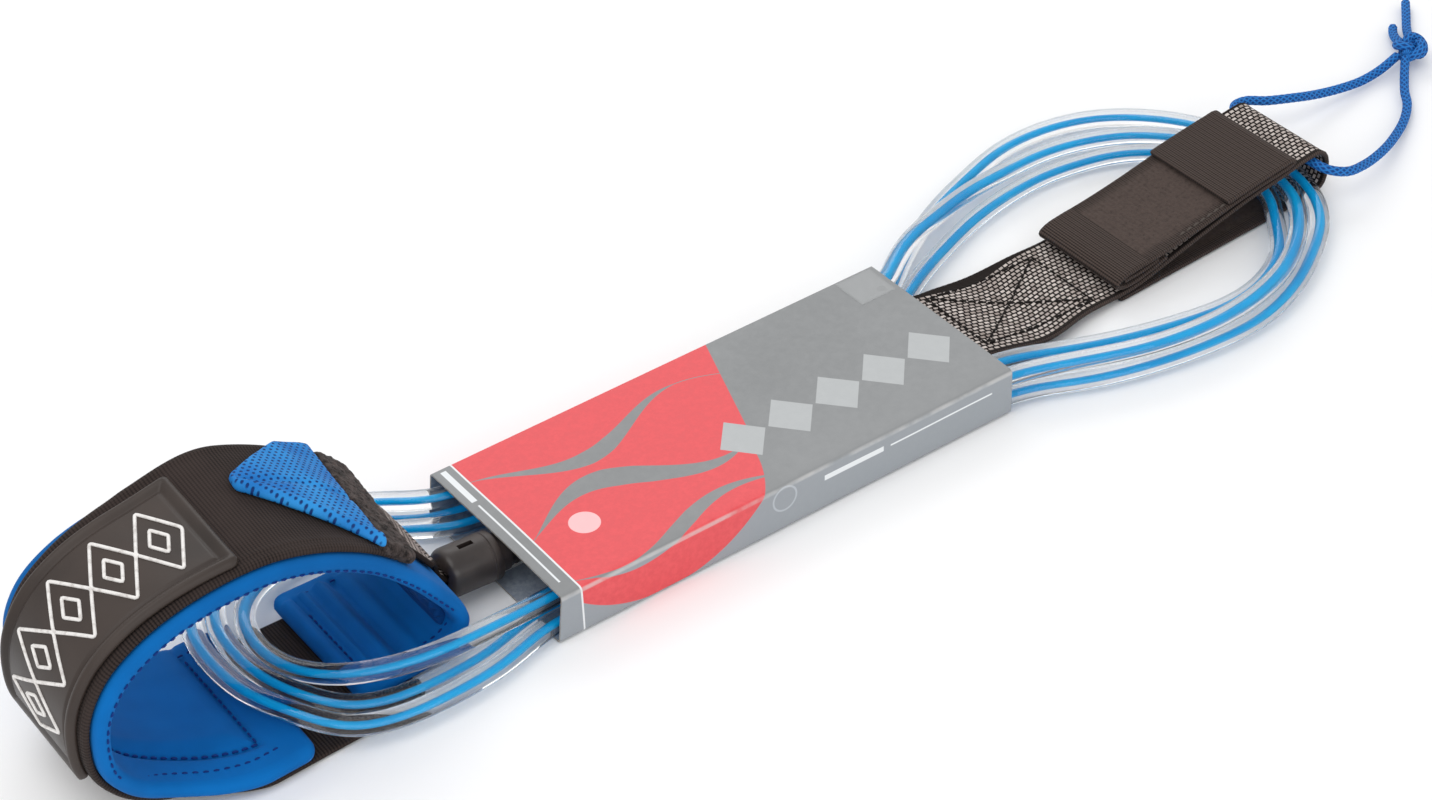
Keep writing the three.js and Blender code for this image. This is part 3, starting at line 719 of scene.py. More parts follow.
# ---- cord ----
# The route repeats the CAD part's stations: each holds the outer, middle and inner lane.
RIGHT_BEND = [
    [(90, -32, 3.5), (90, -31.5, 9.8), (89, -20.5, 7.4)],
    [(103, -38.5, 3.5), (104, -37, 9.8), (101.5, -23.5, 5.4)],
    [(122, -44.5, 3.5), (122, -43.5, 9.8), (122, -29.5, 3.6)],
    [(142.5, -48, 3.5), (142, -46.5, 9.6), (142, -35, 3.5)],
    [(163.5, -48.5, 3.5), (161, -45.5, 9.2), (162.5, -38, 3.5)],
    [(183, -43, 3.6), (181.5, -39.5, 8.8), (180, -34.5, 3.6)],
    [(199.5, -34, 3.9), (197, -29.5, 8.4), (194, -25.5, 4)],
    [(212, -25, 4.6), (206.5, -20, 7.4), (201, -15.5, 4.8)],
    [(219.5, -14, 5.3), (213, -12, 6.2), (206, -10, 5.3)],
    [(223.3, -1.5, 5.4), (217, -1.5, 6), (210, -1.5, 5.4)],
    [(224.3, 11.5, 5.4), (218, 11.5, 5.8), (211, 11, 5.4)],
    [(223, 25, 5.4), (216.5, 24, 5.6), (209.2, 22.5, 5.4)],
    [(218, 40.5, 4.6), (208.5, 38, 4.6), (199, 34.5, 4.5)],
    [(208.5, 54.5, 3.8), (199, 49, 3.8), (189.5, 43, 3.8)],
    [(196.5, 64, 3.5), (186.5, 55.5, 3.5), (176.5, 47, 3.5)],
    [(180, 69, 3.5), (171.5, 59, 3.5), (163.5, 49, 3.5)],
    [(161.5, 69, 3.5), (155, 58.5, 3.7), (147, 48, 3.5)],
    [(144.5, 64, 3.5), (137.5, 55.5, 5.4), (129.5, 44.5, 3.5)],
    [(125.5, 57, 3.5), (118, 48.5, 8.2), (113, 38.5, 3.5)],
    [(108, 48, 3.5), (102, 42.5, 9.8), (96.5, 31.5, 3.5)],
    [(92.5, 37.5, 3.5), (89, 35, 9.9), (85.5, 25, 3.6)],
    [(79, 27.8, 3.7), (79, 27.8, 10), (77, 21.5, 3.7)],
]
LEFT_BEND = [
    [(-80.5, 28.3, 3.7), (-80.5, 28.3, 10), (-80, 22, 3.7)],
    [(-91, 35.5, 3.6), (-91.5, 36.5, 9.9), (-88.5, 28.8, 3.6)],
    [(-103, 43, 3.5), (-104, 43.5, 9.8), (-101.5, 34.5, 3.6)],
    [(-119.5, 45, 3.6), (-119.5, 43.5, 9.9), (-118, 36.5, 3.8)],
    [(-136, 44, 4.8), (-134, 40, 10.1), (-131.5, 35, 4.6)],
    [(-149.5, 38.5, 8.2), (-144.5, 34, 10.8), (-140, 29.5, 6.1)],
    [(-158, 29.5, 10.2), (-152, 27, 10.9), (-145, 23.5, 7.8)],
    [(-162, 18.5, 10.2), (-155.5, 17.5, 10.5), (-148.5, 15.5, 8.7)],
    [(-162.5, 6, 10.2), (-156, 6, 10.3), (-149.5, 6, 9.1)],
    [(-161, -7, 10.2), (-154.5, -5.5, 10.2), (-148, -4, 9.9)],
    [(-155.5, -20, 10.6), (-149.5, -15.5, 9.2), (-143.5, -13.5, 11.3)],
    [(-145.5, -31.4, 7), (-141, -25.2, 6.9), (-135.5, -20.5, 12)],
    [(-131, -35.2, 5.1), (-129, -28.6, 5.3), (-124.5, -24.5, 11.7)],
    [(-114, -35.8, 4.8), (-114, -29, 4.7), (-112.5, -25.8, 10.8)],
    [(-97, -33.4, 3.7), (-97, -27, 3.7), (-95, -25.5, 10)],
    [(-84, -29.1, 3.6), (-84, -22.8, 3.6), (-82.5, -25.5, 9.9)],
]
# inside the sleeve: in from the cuff's horn, twice from one turn to the next, and out to the rail saver's horn
CROSSINGS = [
    [(-60.6, 0.8, 6.9), (-55.5, 1, 6.5), (-42, 0.2, 4.5), (-27.5, -3.5, 3.8), (-8.5, -10.5, 3.7),
     (12.5, -20, 3.7), (33, -27, 3.7), (53.5, -28.8, 3.7), (77, -28.7, 3.7)],
    [(-72, -28.4, 3.7), (-45.5, -28.6, 3.8), (-25, -29, 4.7), (-4, -29, 7.8), (16.5, -29, 10.3),
     (45.5, -28.8, 10.6), (77, -28.5, 10.2)],
    [(-70, -22.4, 3.7), (-49.5, -22.3, 3.9), (-29, -22, 5.6), (-8.5, -21.5, 9.2), (12.5, -20, 10.8),
     (37, -19, 10.7), (62, -18.8, 9.3), (76.5, -19.2, 8.2)],
    [(-70, -25.3, 10.2), (-58, -22.5, 10.8), (-43, -15, 11), (-27.5, -6.5, 10.9), (-11, -1, 9.8),
     (4, 2, 8.3), (18.2, 2.5, 7.85)],
]
CORD_DIAMETER = 6.0
CORE_DIAMETER = 1.55


def make_leash_cord():
    stations = []
    for lane in range(3):
        stations += CROSSINGS[lane]
        stations += [station[lane] for station in RIGHT_BEND + LEFT_BEND]
    stations += CROSSINGS[3]
    path = eased(evenly(smooth_line(stations), 2.2), 14)
    cord = rope("leash_cord_clear", path, CORD_DIAMETER / 2, 20, [URETHANE])
    inner = rope("leash_cord_core", path[1:-1], CORE_DIAMETER / 2, 12, [CORE])
    settle(cord, "root", "leash_cord")
    settle(inner, "root")


# ---- string ----
STRING_LOOP = [
    (300.2, 24.3, 4.6), (295.5, 20, 3.6), (288, 12.5, 2.4), (284, 7.5, 2), (276.5, 1.5, 2.1), (265, -5, 3.3),
    (253, -10.5, 5.4), (240.5, -14.5, 7.8), (231, -16, 10.3), (225, -13.5, 12.4), (223.6, -7.5, 13),
    (224, 5, 13), (224, 18, 13), (224.2, 26.5, 13), (227.3, 30.6, 12.8), (232.5, 31, 12.3), (239, 28.2, 11.1),
    (248, 26, 9.5), (259, 25.5, 6.6), (271, 25.5, 4.1), (282, 26, 2.5), (291, 26.5, 2.9), (299.3, 27.4, 4.4),
]
TAIL_LONG = [(310, 31, 4.4), (313.5, 35.5, 3), (317.5, 40, 2.1), (324, 46.5, 1.9), (329.5, 52, 1.9)]
TAIL_SHORT = [(306.6, 32.6, 4.2), (309, 37, 2.9), (312, 41, 1.9), (314.5, 43.5, 1.9)]
STRING_DIAMETER = 3.1
STRING_STEP = 0.45
KNOT = np.array([305.5, 27, 5.6])


STRANDS = 6  # strands of the braid each way round


def braided(along, angle):
    along, around = BRAID_TWIST * along, STRANDS * angle
    return 0.11 * np.maximum(np.sin(along + around), np.sin(along - around)) - 0.05


def string_rope(name, path, radius=STRING_DIAMETER / 2 - 0.05, rounded=True):
    return rope(name, path, radius, 22, [BRAID], braided, rounded)


def make_string():
    loop = evenly(smooth_line(STRING_LOOP), STRING_STEP)
    cord = string_rope("string_loop", loop)
    settle(cord, "string", "leash_string")
    for which, points in (("long", TAIL_LONG), ("short", TAIL_SHORT)):
        in_knot = [tuple(KNOT + (np.array(points[0]) - KNOT) * 0.4)]
        tail = string_rope(f"string_end_{which}", evenly(smooth_line(in_knot + points), STRING_STEP))
        settle(tail, "string", f"string_tail_{which}")
    # the knot is a trefoil, filled by a short stretch of string through its middle
    turn = np.linspace(0, 2 * np.pi, 160)
    wide = 1.55 + 0.62 * np.cos(3 * turn)
    trefoil = [wide * np.cos(2 * turn) * 2.35, wide * np.sin(2 * turn) * 2.1, np.sin(3 * turn) * 2.0]
    knot = string_rope("string_knot_tied", np.stack(trefoil, axis=1) + KNOT, rounded=False)
    heart = string_rope("string_knot_heart", np.linspace(KNOT - (4, 2, 0), KNOT + (3, 3, 0), 14), 1.7)
    settle(knot, "string", "string_knot")
    settle(heart, "string")


make_leash_cord()
make_string()

# ---- cuff ----
CUFF_LOOP = [
    (-119, 1.9), (-136, 1.9), (-154, 1.9), (-175, 1.9), (-184, 2.6), (-194, 5.8), (-203, 12.5), (-208.8, 22),
    (-209.8, 31), (-208, 41), (-202.2, 50), (-193.1, 56.2), (-181.6, 60), (-167.6, 61.5), (-153.5, 60.3),
    (-139.5, 55.5), (-125.5, 47), (-114.3, 36), (-105.7, 24.5), (-101.5, 18), (-99.9, 11.5), (-102.5, 6),
    (-107, 3), (-112, 2.2),
]
CUFF_SPAN = (-209.8, -100)  # the loop's ends in X
FAR_RISE = 6  # how much higher the cuff's far side stands than its near side
PAD_THICKNESS = 4.6
STRAP_THICKNESS = 1.6
GAP = 0.3  # between the strap and the pad
CUFF_LINE = smooth_line(CUFF_LOOP * 2, closed=True, per_span=16)
CUFF_LENGTH = lengths_along(smooth_line(CUFF_LOOP, closed=True, per_span=16))[-1]


def pad_lips(x):
    """The pad's near and far lips, which draw together from the cuff's left to its right."""
    return np.interp(x, CUFF_SPAN, [-25.6, -21.9]), np.interp(x, CUFF_SPAN, [28, 25.2])


def inset_lips(near_inset, far_inset):
    def lips(x):
        near, far = pad_lips(x)
        return near + near_inset, far - far_inset
    return lips


def share_across(spots):
    near, far = pad_lips(spots[..., 0])
    return np.clip((spots[..., 1] - near) / (far - near), 0, 1)


def lifted(spots):
    """The far side of the cuff stands a little higher than the near side."""
    x, y, z = spots[..., 0], spots[..., 1], spots[..., 2]
    rise = FAR_RISE * share_across(spots) * smoothstep(x, -178, -145) * smoothstep(z, 5, 35)
    return np.stack([x, y, z + rise], axis=-1)


def skewed(spots, near_skew=10.7, turns=(-192, -166)):
    """The strap's stretch on the floor lies turned towards the front."""
    x, z = spots[..., 0], spots[..., 2]
    moved = lifted(spots)
    skew = near_skew - 8.0 * share_across(spots)
    moved[..., 1] -= skew * smoothstep(x, *turns) * (1 - smoothstep(z, 5, 25))
    return moved


def pad_skewed(spots):
    """The lining's left stretch on the floor lies turned as the strap under it does."""
    return np.where(spots[..., :1] < -145, skewed(spots, 9.0, (-196, -168)), lifted(spots))


def first_turn(x, z):
    """Length along the loop's first turn at which it passes closest to a spot."""
    along = lengths_along(CUFF_LINE)
    inside = along < CUFF_LENGTH
    return float(along[inside][np.argmin(np.hypot(CUFF_LINE[inside, 0] - x, CUFF_LINE[inside, 1] - z))])


def cuff_layer(start, end, lips, shift=lifted, lean=0.0):
    """A layer round the cuff between the loop's places nearest to two spots."""
    start, end = first_turn(*start), first_turn(*end)
    return Layer(CUFF_LINE, start, end if end > start else end + CUFF_LENGTH, lips, shift, lean)


PAD_END = first_turn(-136.2, 1.9) + CUFF_LENGTH
PANEL_FROM, PANEL_TO = first_turn(-167, 1.9), first_turn(-209, 36)
PANEL_NEAR = (9.5, 17.0)  # distance of the panel's seam from the near lip, at its two ends
PLEAT_SEAM = 5.2  # distance of the pleats' stitched seam from the pad's end
PLEATS = ((2.4, 2.6, 0.9), (7.4, 2.0, 1.6), (12.6, 3.4, 2.4), (21.0, 3.6, 1.0))  # place, half width, height
PLEAT_GROOVES = ((PLEAT_SEAM, 0.6, 1.0), (16.8, 0.9, 1.4))  # place, half width, depth


def panel_seam(s):
    """Distance of the sewn panel's seam from the near lip."""
    return np.interp(s, [PANEL_FROM, PANEL_TO], PANEL_NEAR)


def pad_relief(s, from_near, from_far, face):
    """The inner side's padding swells inside a sewn panel at the left, and lies in pleats at the right end."""
    crown = np.clip(np.minimum(from_near, from_far) / 10, 0, 1) * 0.5
    from_seam = np.minimum(s - PANEL_FROM, from_near - panel_seam(s))
    panel = smoothstep(from_seam, 0.3, 6.0) * 1.3 - 1.1 * bell(from_seam, 0, 0.9)
    panel = panel * smoothstep(PANEL_TO + 6 - s, 0, 8)
    from_end = PAD_END - s
    pleats = sum(height * ridge(from_end, place, width) for place, width, height in PLEATS)
    pleats = pleats - sum(depth * bell(from_end, place, width) for place, width, depth in PLEAT_GROOVES)
    across = smoothstep(from_near, 2.0, 5.0) * smoothstep(from_near, 44.5, 42.5)
    return np.where(face < 0, crown + panel + pleats * across, 0.0)


def strap_relief(s, from_near, from_far, face):
    """Two ridges run along the near edge of the outer side, and one along the far edge."""
    ridges = ridge(from_near, 1.5, 0.9) * 0.45 + ridge(from_near, 4.0, 1.1) * 0.4
    ridges = ridges + ridge(from_far, 2.0, 1.1) * 0.35
    waves = 0.12 * np.sin(s / 7.0 + from_near / 6.0) * np.clip(from_near / 12, 0, 1)
    return np.where(face > 0, ridges + waves, 0.0)


def pad_stitches(name, path, towards, gap=0.9, length=1.7, radius=0.36):
    row = stitches(name, path, towards - path, BLUE_THREAD, length, gap, radius)
    settle(row, "root")


def make_cuff_pad():
    layer = cuff_layer((-154, 1.9), (-136.2, 1.9), pad_lips, pad_skewed)
    pad = strip("cuff_pad_sewn", layer, -PAD_THICKNESS, 0, [LINING], step=0.9, across=84, corner=4,
                relief=pad_relief)
    settle(pad, "root", "cuff_pad")
    above = -PAD_THICKNESS - 1  # an offset above the pad's inner side, for the way in which the stitches face
    s = np.arange(layer.start + 8, layer.end - 8, 1.0)
    near, far = layer.lips_at(s)
    # the panel's row crosses the pad, then turns and follows the near lip
    crossing = 34
    turn = np.concatenate([np.full(crossing, PANEL_FROM), np.arange(PANEL_FROM, first_turn(-206, 16), 1.0)])
    reach = np.concatenate([np.linspace(44, PANEL_NEAR[0] + 1, crossing), panel_seam(turn[crossing:])])
    reach += np.interp(turn, s, near)
    path = layer.spot(turn, -PAD_THICKNESS - 0.15, reach)
    pad_stitches("pad_stitches_panel", path, layer.spot(turn, above, reach))
    pleat = np.linspace(-16, 14, 31)
    along = np.full_like(pleat, PAD_END - PLEAT_SEAM)
    path = layer.spot(along, -PAD_THICKNESS + 0.2, pleat)
    pad_stitches("pad_stitches_pleat", path, layer.spot(along, above, pleat))
    # a row shows on the rolled lip round the loop, and further in where the pad lies on the floor
    inside = 1 - smoothstep(layer.spot(s, 0, near)[:, 2], 4, 22)
    level = -3.1 - (PAD_THICKNESS - 3.1 + 0.2) * inside
    for name, lip, way in (("pad_stitches_near", near, 1), ("pad_stitches_far", far, -1)):
        y = lip + way * (0.12 + 5.4 * inside)
        towards = layer.spot(s, level - 1 * inside - 0.3, y - way * (1 - inside))
        pad_stitches(name, layer.spot(s, level, y), towards, gap=1.1, length=1.6, radius=0.34)


def make_cuff_strap():
    def lips(x):
        near, far = pad_lips(x)
        return near + 2.6, far - np.interp(x, [-209, -196, -172], [5.5, 4.5, 1.8])

    fixed = cuff_layer(CUFF_LOOP[0], (-186, 58.8), lips, skewed)
    strap = strip("cuff_strap_knit", fixed, GAP, GAP + STRAP_THICKNESS, [KNIT], step=1.3, across=44, corner=6,
                  relief=strap_relief, round_ends=(True, False))
    settle(strap, "root", "cuff_strap")
    moving = cuff_layer((-186, 58.8), (-119.6, 41.5), lips)
    flap = strip("strap_end_knit", moving, GAP, GAP + STRAP_THICKNESS, [KNIT, FUZZY], step=1.3, across=44,
                 corner=1.5, relief=strap_relief, slots=(1, 0, 0), round_ends=(False, True))
    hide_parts("strap_end")
    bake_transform(flap)


def tufted(s, from_near, from_far, face):
    seed = np.stack(np.broadcast_arrays(s * 1.0, from_near * 1.0, face * 3.0), axis=-1)
    return 0.35 * wobble(seed, 1.1, 4.0) + 0.3 * wobble(seed, 3.1, 9.0) + 0.1


HEM_LEAN = 0.13  # the hem and the tab run on towards the right as they go to the far side


def make_strap_hem():
    layer = cuff_layer((-122.2, 44.1), (-112.9, 34.3), inset_lips(2.4, 1.6), lean=HEM_LEAN)
    hem = strip("strap_hem_fleece", layer, 0.2, 3.9, [FLEECE], step=0.45, across=110, corner=2.2,
                relief=tufted)
    settle(hem, "strap_end", "strap_hem")


def make_pull_tab():
    tip, bend, base = -150.6, -133.0, -122.2

    def lips(x):
        near = np.interp(x, [tip, base], [4.5, -20.5])
        far = np.interp(x, [tip, bend, base], [9.5, 22.5, 24.4])
        return near, far

    def folded(s, from_near, from_far, face):
        roll = ridge(from_near, 2.2, 3.0) * 1.2
        crease = -0.7 * bell(from_near, from_far * 0.8, 2.2)
        dents = 0.3 * np.sin(s / 4.6) * np.sin(from_near / 5.1 + s / 7.0)
        return np.where(face > 0, roll + crease + dents, 0.0)

    def fading_lean(s):
        return HEM_LEAN * (0.5 + 0.5 * np.clip((layer.end - s) / (layer.end - layer.start), 0, 1))

    layer = cuff_layer((tip, 59.4), (base, 44.1), lips, lean=fading_lean)
    tab = strip("pull_tab_mesh", layer, 2.5, 4.4, [MESH], step=0.6, across=50, corner=1.2, relief=folded,
                from_lip=False)
    settle(tab, "pull_tab", "pull_tab")


BADGE_NEAR, BADGE_FAR = -19.8, 19.0
BADGE_FRAME = 3.2
BADGE_DIAMONDS = 5
OUTLINES = {"outer": 0.5, "inner": 0.2}  # half lengths of a diamond's outlines, as shares of their pitch


def badge_lips(x):
    return np.full_like(x, BADGE_NEAR), np.full_like(x, BADGE_FAR)


def diamond(s, y, half_length, half_width):
    """The corners of a diamond round a middle, in length along the badge and Y."""
    return np.array([(s - half_length, y), (s, y + half_width), (s + half_length, y), (s, y - half_width)])


def make_badge():
    layer = cuff_layer((-208.3, 20.5), (-161, 61.3), badge_lips)
    length = layer.end - layer.start

    def frame_relief(s, from_near, from_far, face):
        to_end = np.minimum(s - layer.start, length - (s - layer.start))
        inwards = np.minimum(np.minimum(from_near, from_far), to_end)
        rim = ridge(inwards, BADGE_FRAME / 2, BADGE_FRAME / 2) ** 0.5 * 0.9
        channel = -0.5 * bell(inwards, BADGE_FRAME + 0.7, 0.45)
        return np.where(face > 0, np.where(inwards < BADGE_FRAME, rim, 0) + channel, 0.0)

    badge = strip("badge_rubber_patch", layer, 2.0, 3.9, [RUBBER], step=0.45, across=90, corner=2.6,
                  relief=frame_relief)
    settle(badge, "root", "badge_patch")
    margin = BADGE_FRAME + 2.5
    pitch = (length - 2 * margin) / BADGE_DIAMONDS
    for number in range(BADGE_DIAMONDS):
        centre = layer.start + margin + pitch * (number + 0.5)
        for name, size in OUTLINES.items():
            corners = diamond(centre, -0.4, pitch * size, 26 * size)
            path = evenly(rounded_outline(corners, 0.07), 0.4)
            spots = layer.spot(path[:, 0], 3.95, path[:, 1])
            line = rope(f"badge_diamond_{number}_{name}", spots, 0.5, 10, [ENAMEL], rounded=False)
            settle(line, "root")


def rounded_outline(corners, share):
    """A closed outline through the corners' sides, with each corner rounded over a share of its sides."""
    before, after = np.roll(corners, 1, axis=0), np.roll(corners, -1, axis=0)
    t = np.linspace(0, 1, 9)[:, None]
    arcs = []
    for left, corner, right in zip(before, corners, after):
        one, two = corner + (left - corner) * share, corner + (right - corner) * share
        arcs.append((1 - t) ** 2 * one + 2 * t * (1 - t) * corner + t**2 * two)
    return np.vstack([*arcs, arcs[0][:1]])


def make_key_pocket():
    def lips(x):
        return np.full_like(x, -16.0), np.full_like(x, 19.0)

    def pleated(s, from_near, from_far, face):
        """Three pleats lie one above the other across the lower part of the pocket."""
        from_low = layer.end - s
        pleats = sum(ridge(from_low, centre, 2.9) for centre in (5.0, 10.6, 16.2)) * 1.5
        hem = ridge(from_low, 22.5, 2.0) * 0.6
        return np.where(face < 0, pleats + hem + 0.15 * np.sin(from_near / 2.3 + s / 5), 0.0)

    layer = cuff_layer((-117, 38.8), (-103.2, 5.2), lips)
    # The pocket takes the darker copy of the lining, painted shade inside the cuff.
    pocket = strip("key_pocket_sewn", layer, -PAD_THICKNESS - 1.7, -PAD_THICKNESS + 0.2, [SHADED_LINING],
                   step=0.8, across=50, corner=2, relief=pleated)
    settle(pocket, "root", "key_pocket")


CUFF_WEBBING = [
    (-111.6, 35), (-104.5, 25.2), (-100.2, 18.6), (-98.6, 13.4), (-96.9, 10.8), (-94.3, 9.7), (-91.6, 9.3),
]


def make_cuff_webbing():
    line = smooth_line(CUFF_WEBBING)

    def lips(x):
        """The webbing narrows from the cuff to the swivel."""
        half = np.interp(x, [-104.5, -99], [12.5, 4.2])
        return 0.8 - half, 0.8 + half

    layer = Layer(line, 0, lengths_along(line)[-1], lips, lifted)
    web = strip("cuff_webbing_woven", layer, -0.7, 0.7, [WOVEN], step=0.8, across=30, corner=0.7)
    settle(web, "root", "cuff_webbing")


make_cuff_pad()
make_cuff_strap()
make_strap_hem()
make_pull_tab()
make_badge()
make_key_pocket()
make_cuff_webbing()

# ---- swivels ----
SWIVELS = {
    "cuff": {"at": (-96.6, 0.8, 9.6), "tilt": 0.0756, "turn": 0, "radius": 7.25, "length": 17.2, "horn": 17.4},
    "rail": {"at": (52, 2.5, 7.85), "tilt": 0, "turn": math.pi, "radius": 6.5, "length": 16.6, "horn": 16},
}
PIN_BORE = 2.0
HORN_COLLAR, HORN_TIP = 5.3, 4.3  # radii
GROOVES, GROOVE_PITCH = 3, 3.4
SHARP = math.radians(35)


def turned(name, profile, material, sides=64):
    """A piece turned about X from a profile of (along, radius) that closes on itself or on the axis."""
    around = np.linspace(0, 2 * np.pi, sides, endpoint=False)
    spots, faces, rings = [], [], []
    for along, radius in profile:
        if radius == 0:
            rings.append([len(spots)])
            spots.append((along, 0, 0))
        else:
            rings.append(list(range(len(spots), len(spots) + sides)))
            spots += [(along, radius * math.cos(a), radius * math.sin(a)) for a in around]
    closes = profile[0][1] != 0
    for one, two in zip(rings, rings[1:] + (rings[:1] if closes else [])):
        for k in range(sides):
            following = (k + 1) % sides
            corners = (one, k), (one, following), (two, following), (two, k)
            face = [ring[place % len(ring)] for ring, place in corners]
            faces.append(list(dict.fromkeys(face)))  # a ring on the axis is one spot: triangles there
    piece = outward(mesh_from(name, np.array(spots, float), faces, [material]))
    piece.data.set_sharp_from_angle(angle=SHARP)
    return piece


def block(name, size, at):
    signs = np.array([(a, b, c) for a in (-1, 1) for b in (-1, 1) for c in (-1, 1)])
    corners = signs * np.array(size) / 2 + at
    faces = [(0, 1, 3, 2), (4, 6, 7, 5), (0, 4, 5, 1), (2, 3, 7, 6), (0, 2, 6, 4), (1, 5, 7, 3)]
    return outward(mesh_from(name, corners, faces, []))


def cut_away(piece, cutter):
    """Cuts the cutter out of the piece and removes the cutter."""
    cut = piece.modifiers.new("cut", "BOOLEAN")
    cut.object = cutter
    cut.operation = "DIFFERENCE"
    cut.solver = "EXACT"
    with bpy.context.temp_override(object=piece, active_object=piece, selected_objects=[piece]):
        bpy.ops.object.modifier_apply(modifier=cut.name)
    bpy.data.objects.remove(cutter)


def put_on_axis(piece, swivel):
    turn = Matrix.Rotation(swivel["turn"], 4, "Z") @ Matrix.Rotation(swivel["tilt"], 4, "Y")
    piece.data.transform(Matrix.Translation(Vector(swivel["at"]) * MM) @ turn)
    piece.data.update()


def make_barrel(prefix, swivel):
    radius, length = swivel["radius"], swivel["length"]
    bore = min(5.6, radius - 1.4)
    front, end = 2.2, 2.8  # thicknesses of the closed front and of the end that the pin runs through
    round_to, flat = 3.2, 4.1  # length of the domed front, and radius of its flat middle
    dome = [(round_to * (1 - math.cos(a)), flat + (radius - flat) * math.sin(a))
            for a in np.linspace(0, math.pi / 2, 9)]
    groove = [(length - 3.0, radius), (length - 2.8, radius - 0.25), (length - 2.5, radius - 0.25),
              (length - 2.3, radius)]
    rim = [(length - 0.6, radius), (length - 0.15, radius - 0.25), (length, radius - 0.7)]
    inside = [(length, PIN_BORE), (length - end, PIN_BORE), (length - end, bore), (front, bore), (front, 0)]
    profile = [(0, 0), *dome, *groove, *rim, *inside]
    barrel = turned(f"{prefix}_barrel_moulded", profile, PLASTIC, 96)
    cut_away(barrel, block("slot", (8, 9.6, 5.4), (0, 0, 0.5)))
    cut_away(barrel, block("window", (4.7, 1.7, 6), (length / 2, 0, radius)))
    barrel.data.set_sharp_from_angle(angle=SHARP)
    put_on_axis(barrel, swivel)
    settle(barrel, "root", f"{prefix}_barrel")


def make_horn(prefix, swivel):
    left = swivel["length"] + 0.3
    right = left + swivel["horn"]
    profile = [(left + 6, 0), (left + 6, PIN_BORE), (left, PIN_BORE), (left, HORN_COLLAR), (left + 0.3, 5.6),
               (left + 2.9, 5.6), (left + 3.2, HORN_COLLAR)]
    for groove in range(GROOVES):
        along = left + 4.4 + groove * GROOVE_PITCH
        radius = HORN_COLLAR + (HORN_TIP - HORN_COLLAR) * (along - left) / swivel["horn"]
        profile += [(along - 0.3, radius), (along, radius - 0.5), (along + 0.9, radius - 0.5),
                    (along + 1.3, radius - 0.05)]
    profile += [(right - 1.0, 4.35), (right - 0.4, 4.2), (right, 3.8), (right, 0)]
    horn = turned(f"{prefix}_horn_moulded", profile, PLASTIC, 64)
    put_on_axis(horn, swivel)
    settle(horn, f"{prefix}_swivel", f"{prefix}_horn")


for prefix, swivel in SWIVELS.items():
    make_barrel(prefix, swivel)
    make_horn(prefix, swivel)

# ---- rail saver ----
RAIL_WEBBING = [
    (46.5, 7.85), (52, 7.8), (78.3, 7.4), (90.7, 6.2), (107.2, 3.7), (125.3, 3.3), (137.7, 2.6), (147.6, 3.2),
    (159.1, 5.6), (170.7, 8.2), (193, 12.5), (210.6, 14.57),
]
RAIL_END_LOOP = [
    (210.7, 14.6), (220.2, 15.9), (226, 15.8), (229.2, 12.8), (229.9, 7.4), (228.5, 2.9), (223.5, 0.8),
    (215.7, 0.8),
]
RAIL_FOLD = [
    (151.5, 9.6), (145.9, 9.3), (140.2, 8.5), (137.7, 6.9), (139.8, 5.2), (145.1, 4.9), (152.5, 6.1),
    (159.1, 7.7),
]
RAIL_TONGUE = [(140.6, 7.2), (146, 7.3), (151, 7.8), (155.4, 8.5)]
RAIL_ARM = [(150.5, 9.55), (157, 10), (170.7, 11.5), (193, 14.8), (212.6, 16.65)]
RAIL_FLAP = [
    (210.5, 16.9), (213.4, 17.0), (214.4, 17.75), (213, 18.5), (209, 18.25), (197.9, 17.2), (184.7, 15.7),
]


def rail_lips(x):
    near = np.interp(x, [89.8, 142.6, 229], [-14.9, -13.2, -9.3])
    return near, near + RAIL_WIDTH


def bulged_lips(x):
    """The webbing's near lip swells out a little beside the sleeve."""
    near, far = rail_lips(x)
    return near - 3.0 * bell(x, 106, 15), far


def rail_layer(points, lips=rail_lips):
    line = smooth_line(points)
    return Layer(line, 0, lengths_along(line)[-1], lips)


def corded(s, from_near, from_far, face):
    """The webbing's selvedges are a little thicker than its middle."""
    return 0.28 * (ridge(from_near, 0.9, 1.0) + ridge(from_far, 0.9, 1.0)) + 0.04 * np.sin(s * 2 * np.pi / 2.2)


def ribs(s, from_near, from_far, face):
    """Fine ribs run across, and the edges are a little thicker."""
    return 0.06 * np.sin(s * 2 * np.pi / 1.6) + 0.12 * (ridge(from_near, 1.2, 1.2) + ridge(from_far, 1.2, 1.2))


def seam(name, layer, spots, offset, material, body):
    """A stitched line through (length along, Y) spots on a layer."""
    line = evenly(np.array(spots, float), 0.8)
    path = layer.spot(line[:, 0], offset, line[:, 1])
    up = layer.spot(line[:, 0], offset + 1, line[:, 1]) - path
    row = stitches(name, path, up, material, length=2.3, gap=0.6, radius=0.42)
    settle(row, body)


def webbing_strip(name, layer, round_ends):
    return strip(name, layer, -0.62, 0.62, [WOVEN, RIBBED], step=0.55, across=44, corner=1, relief=corded,
                 slots=(0, 1, 0), round_ends=round_ends)


def ribbed_strip(name, layer, half, corner, across=40):
    return strip(name, layer, -half, half, [RIBBED], step=0.45, across=across, corner=corner, relief=ribs)


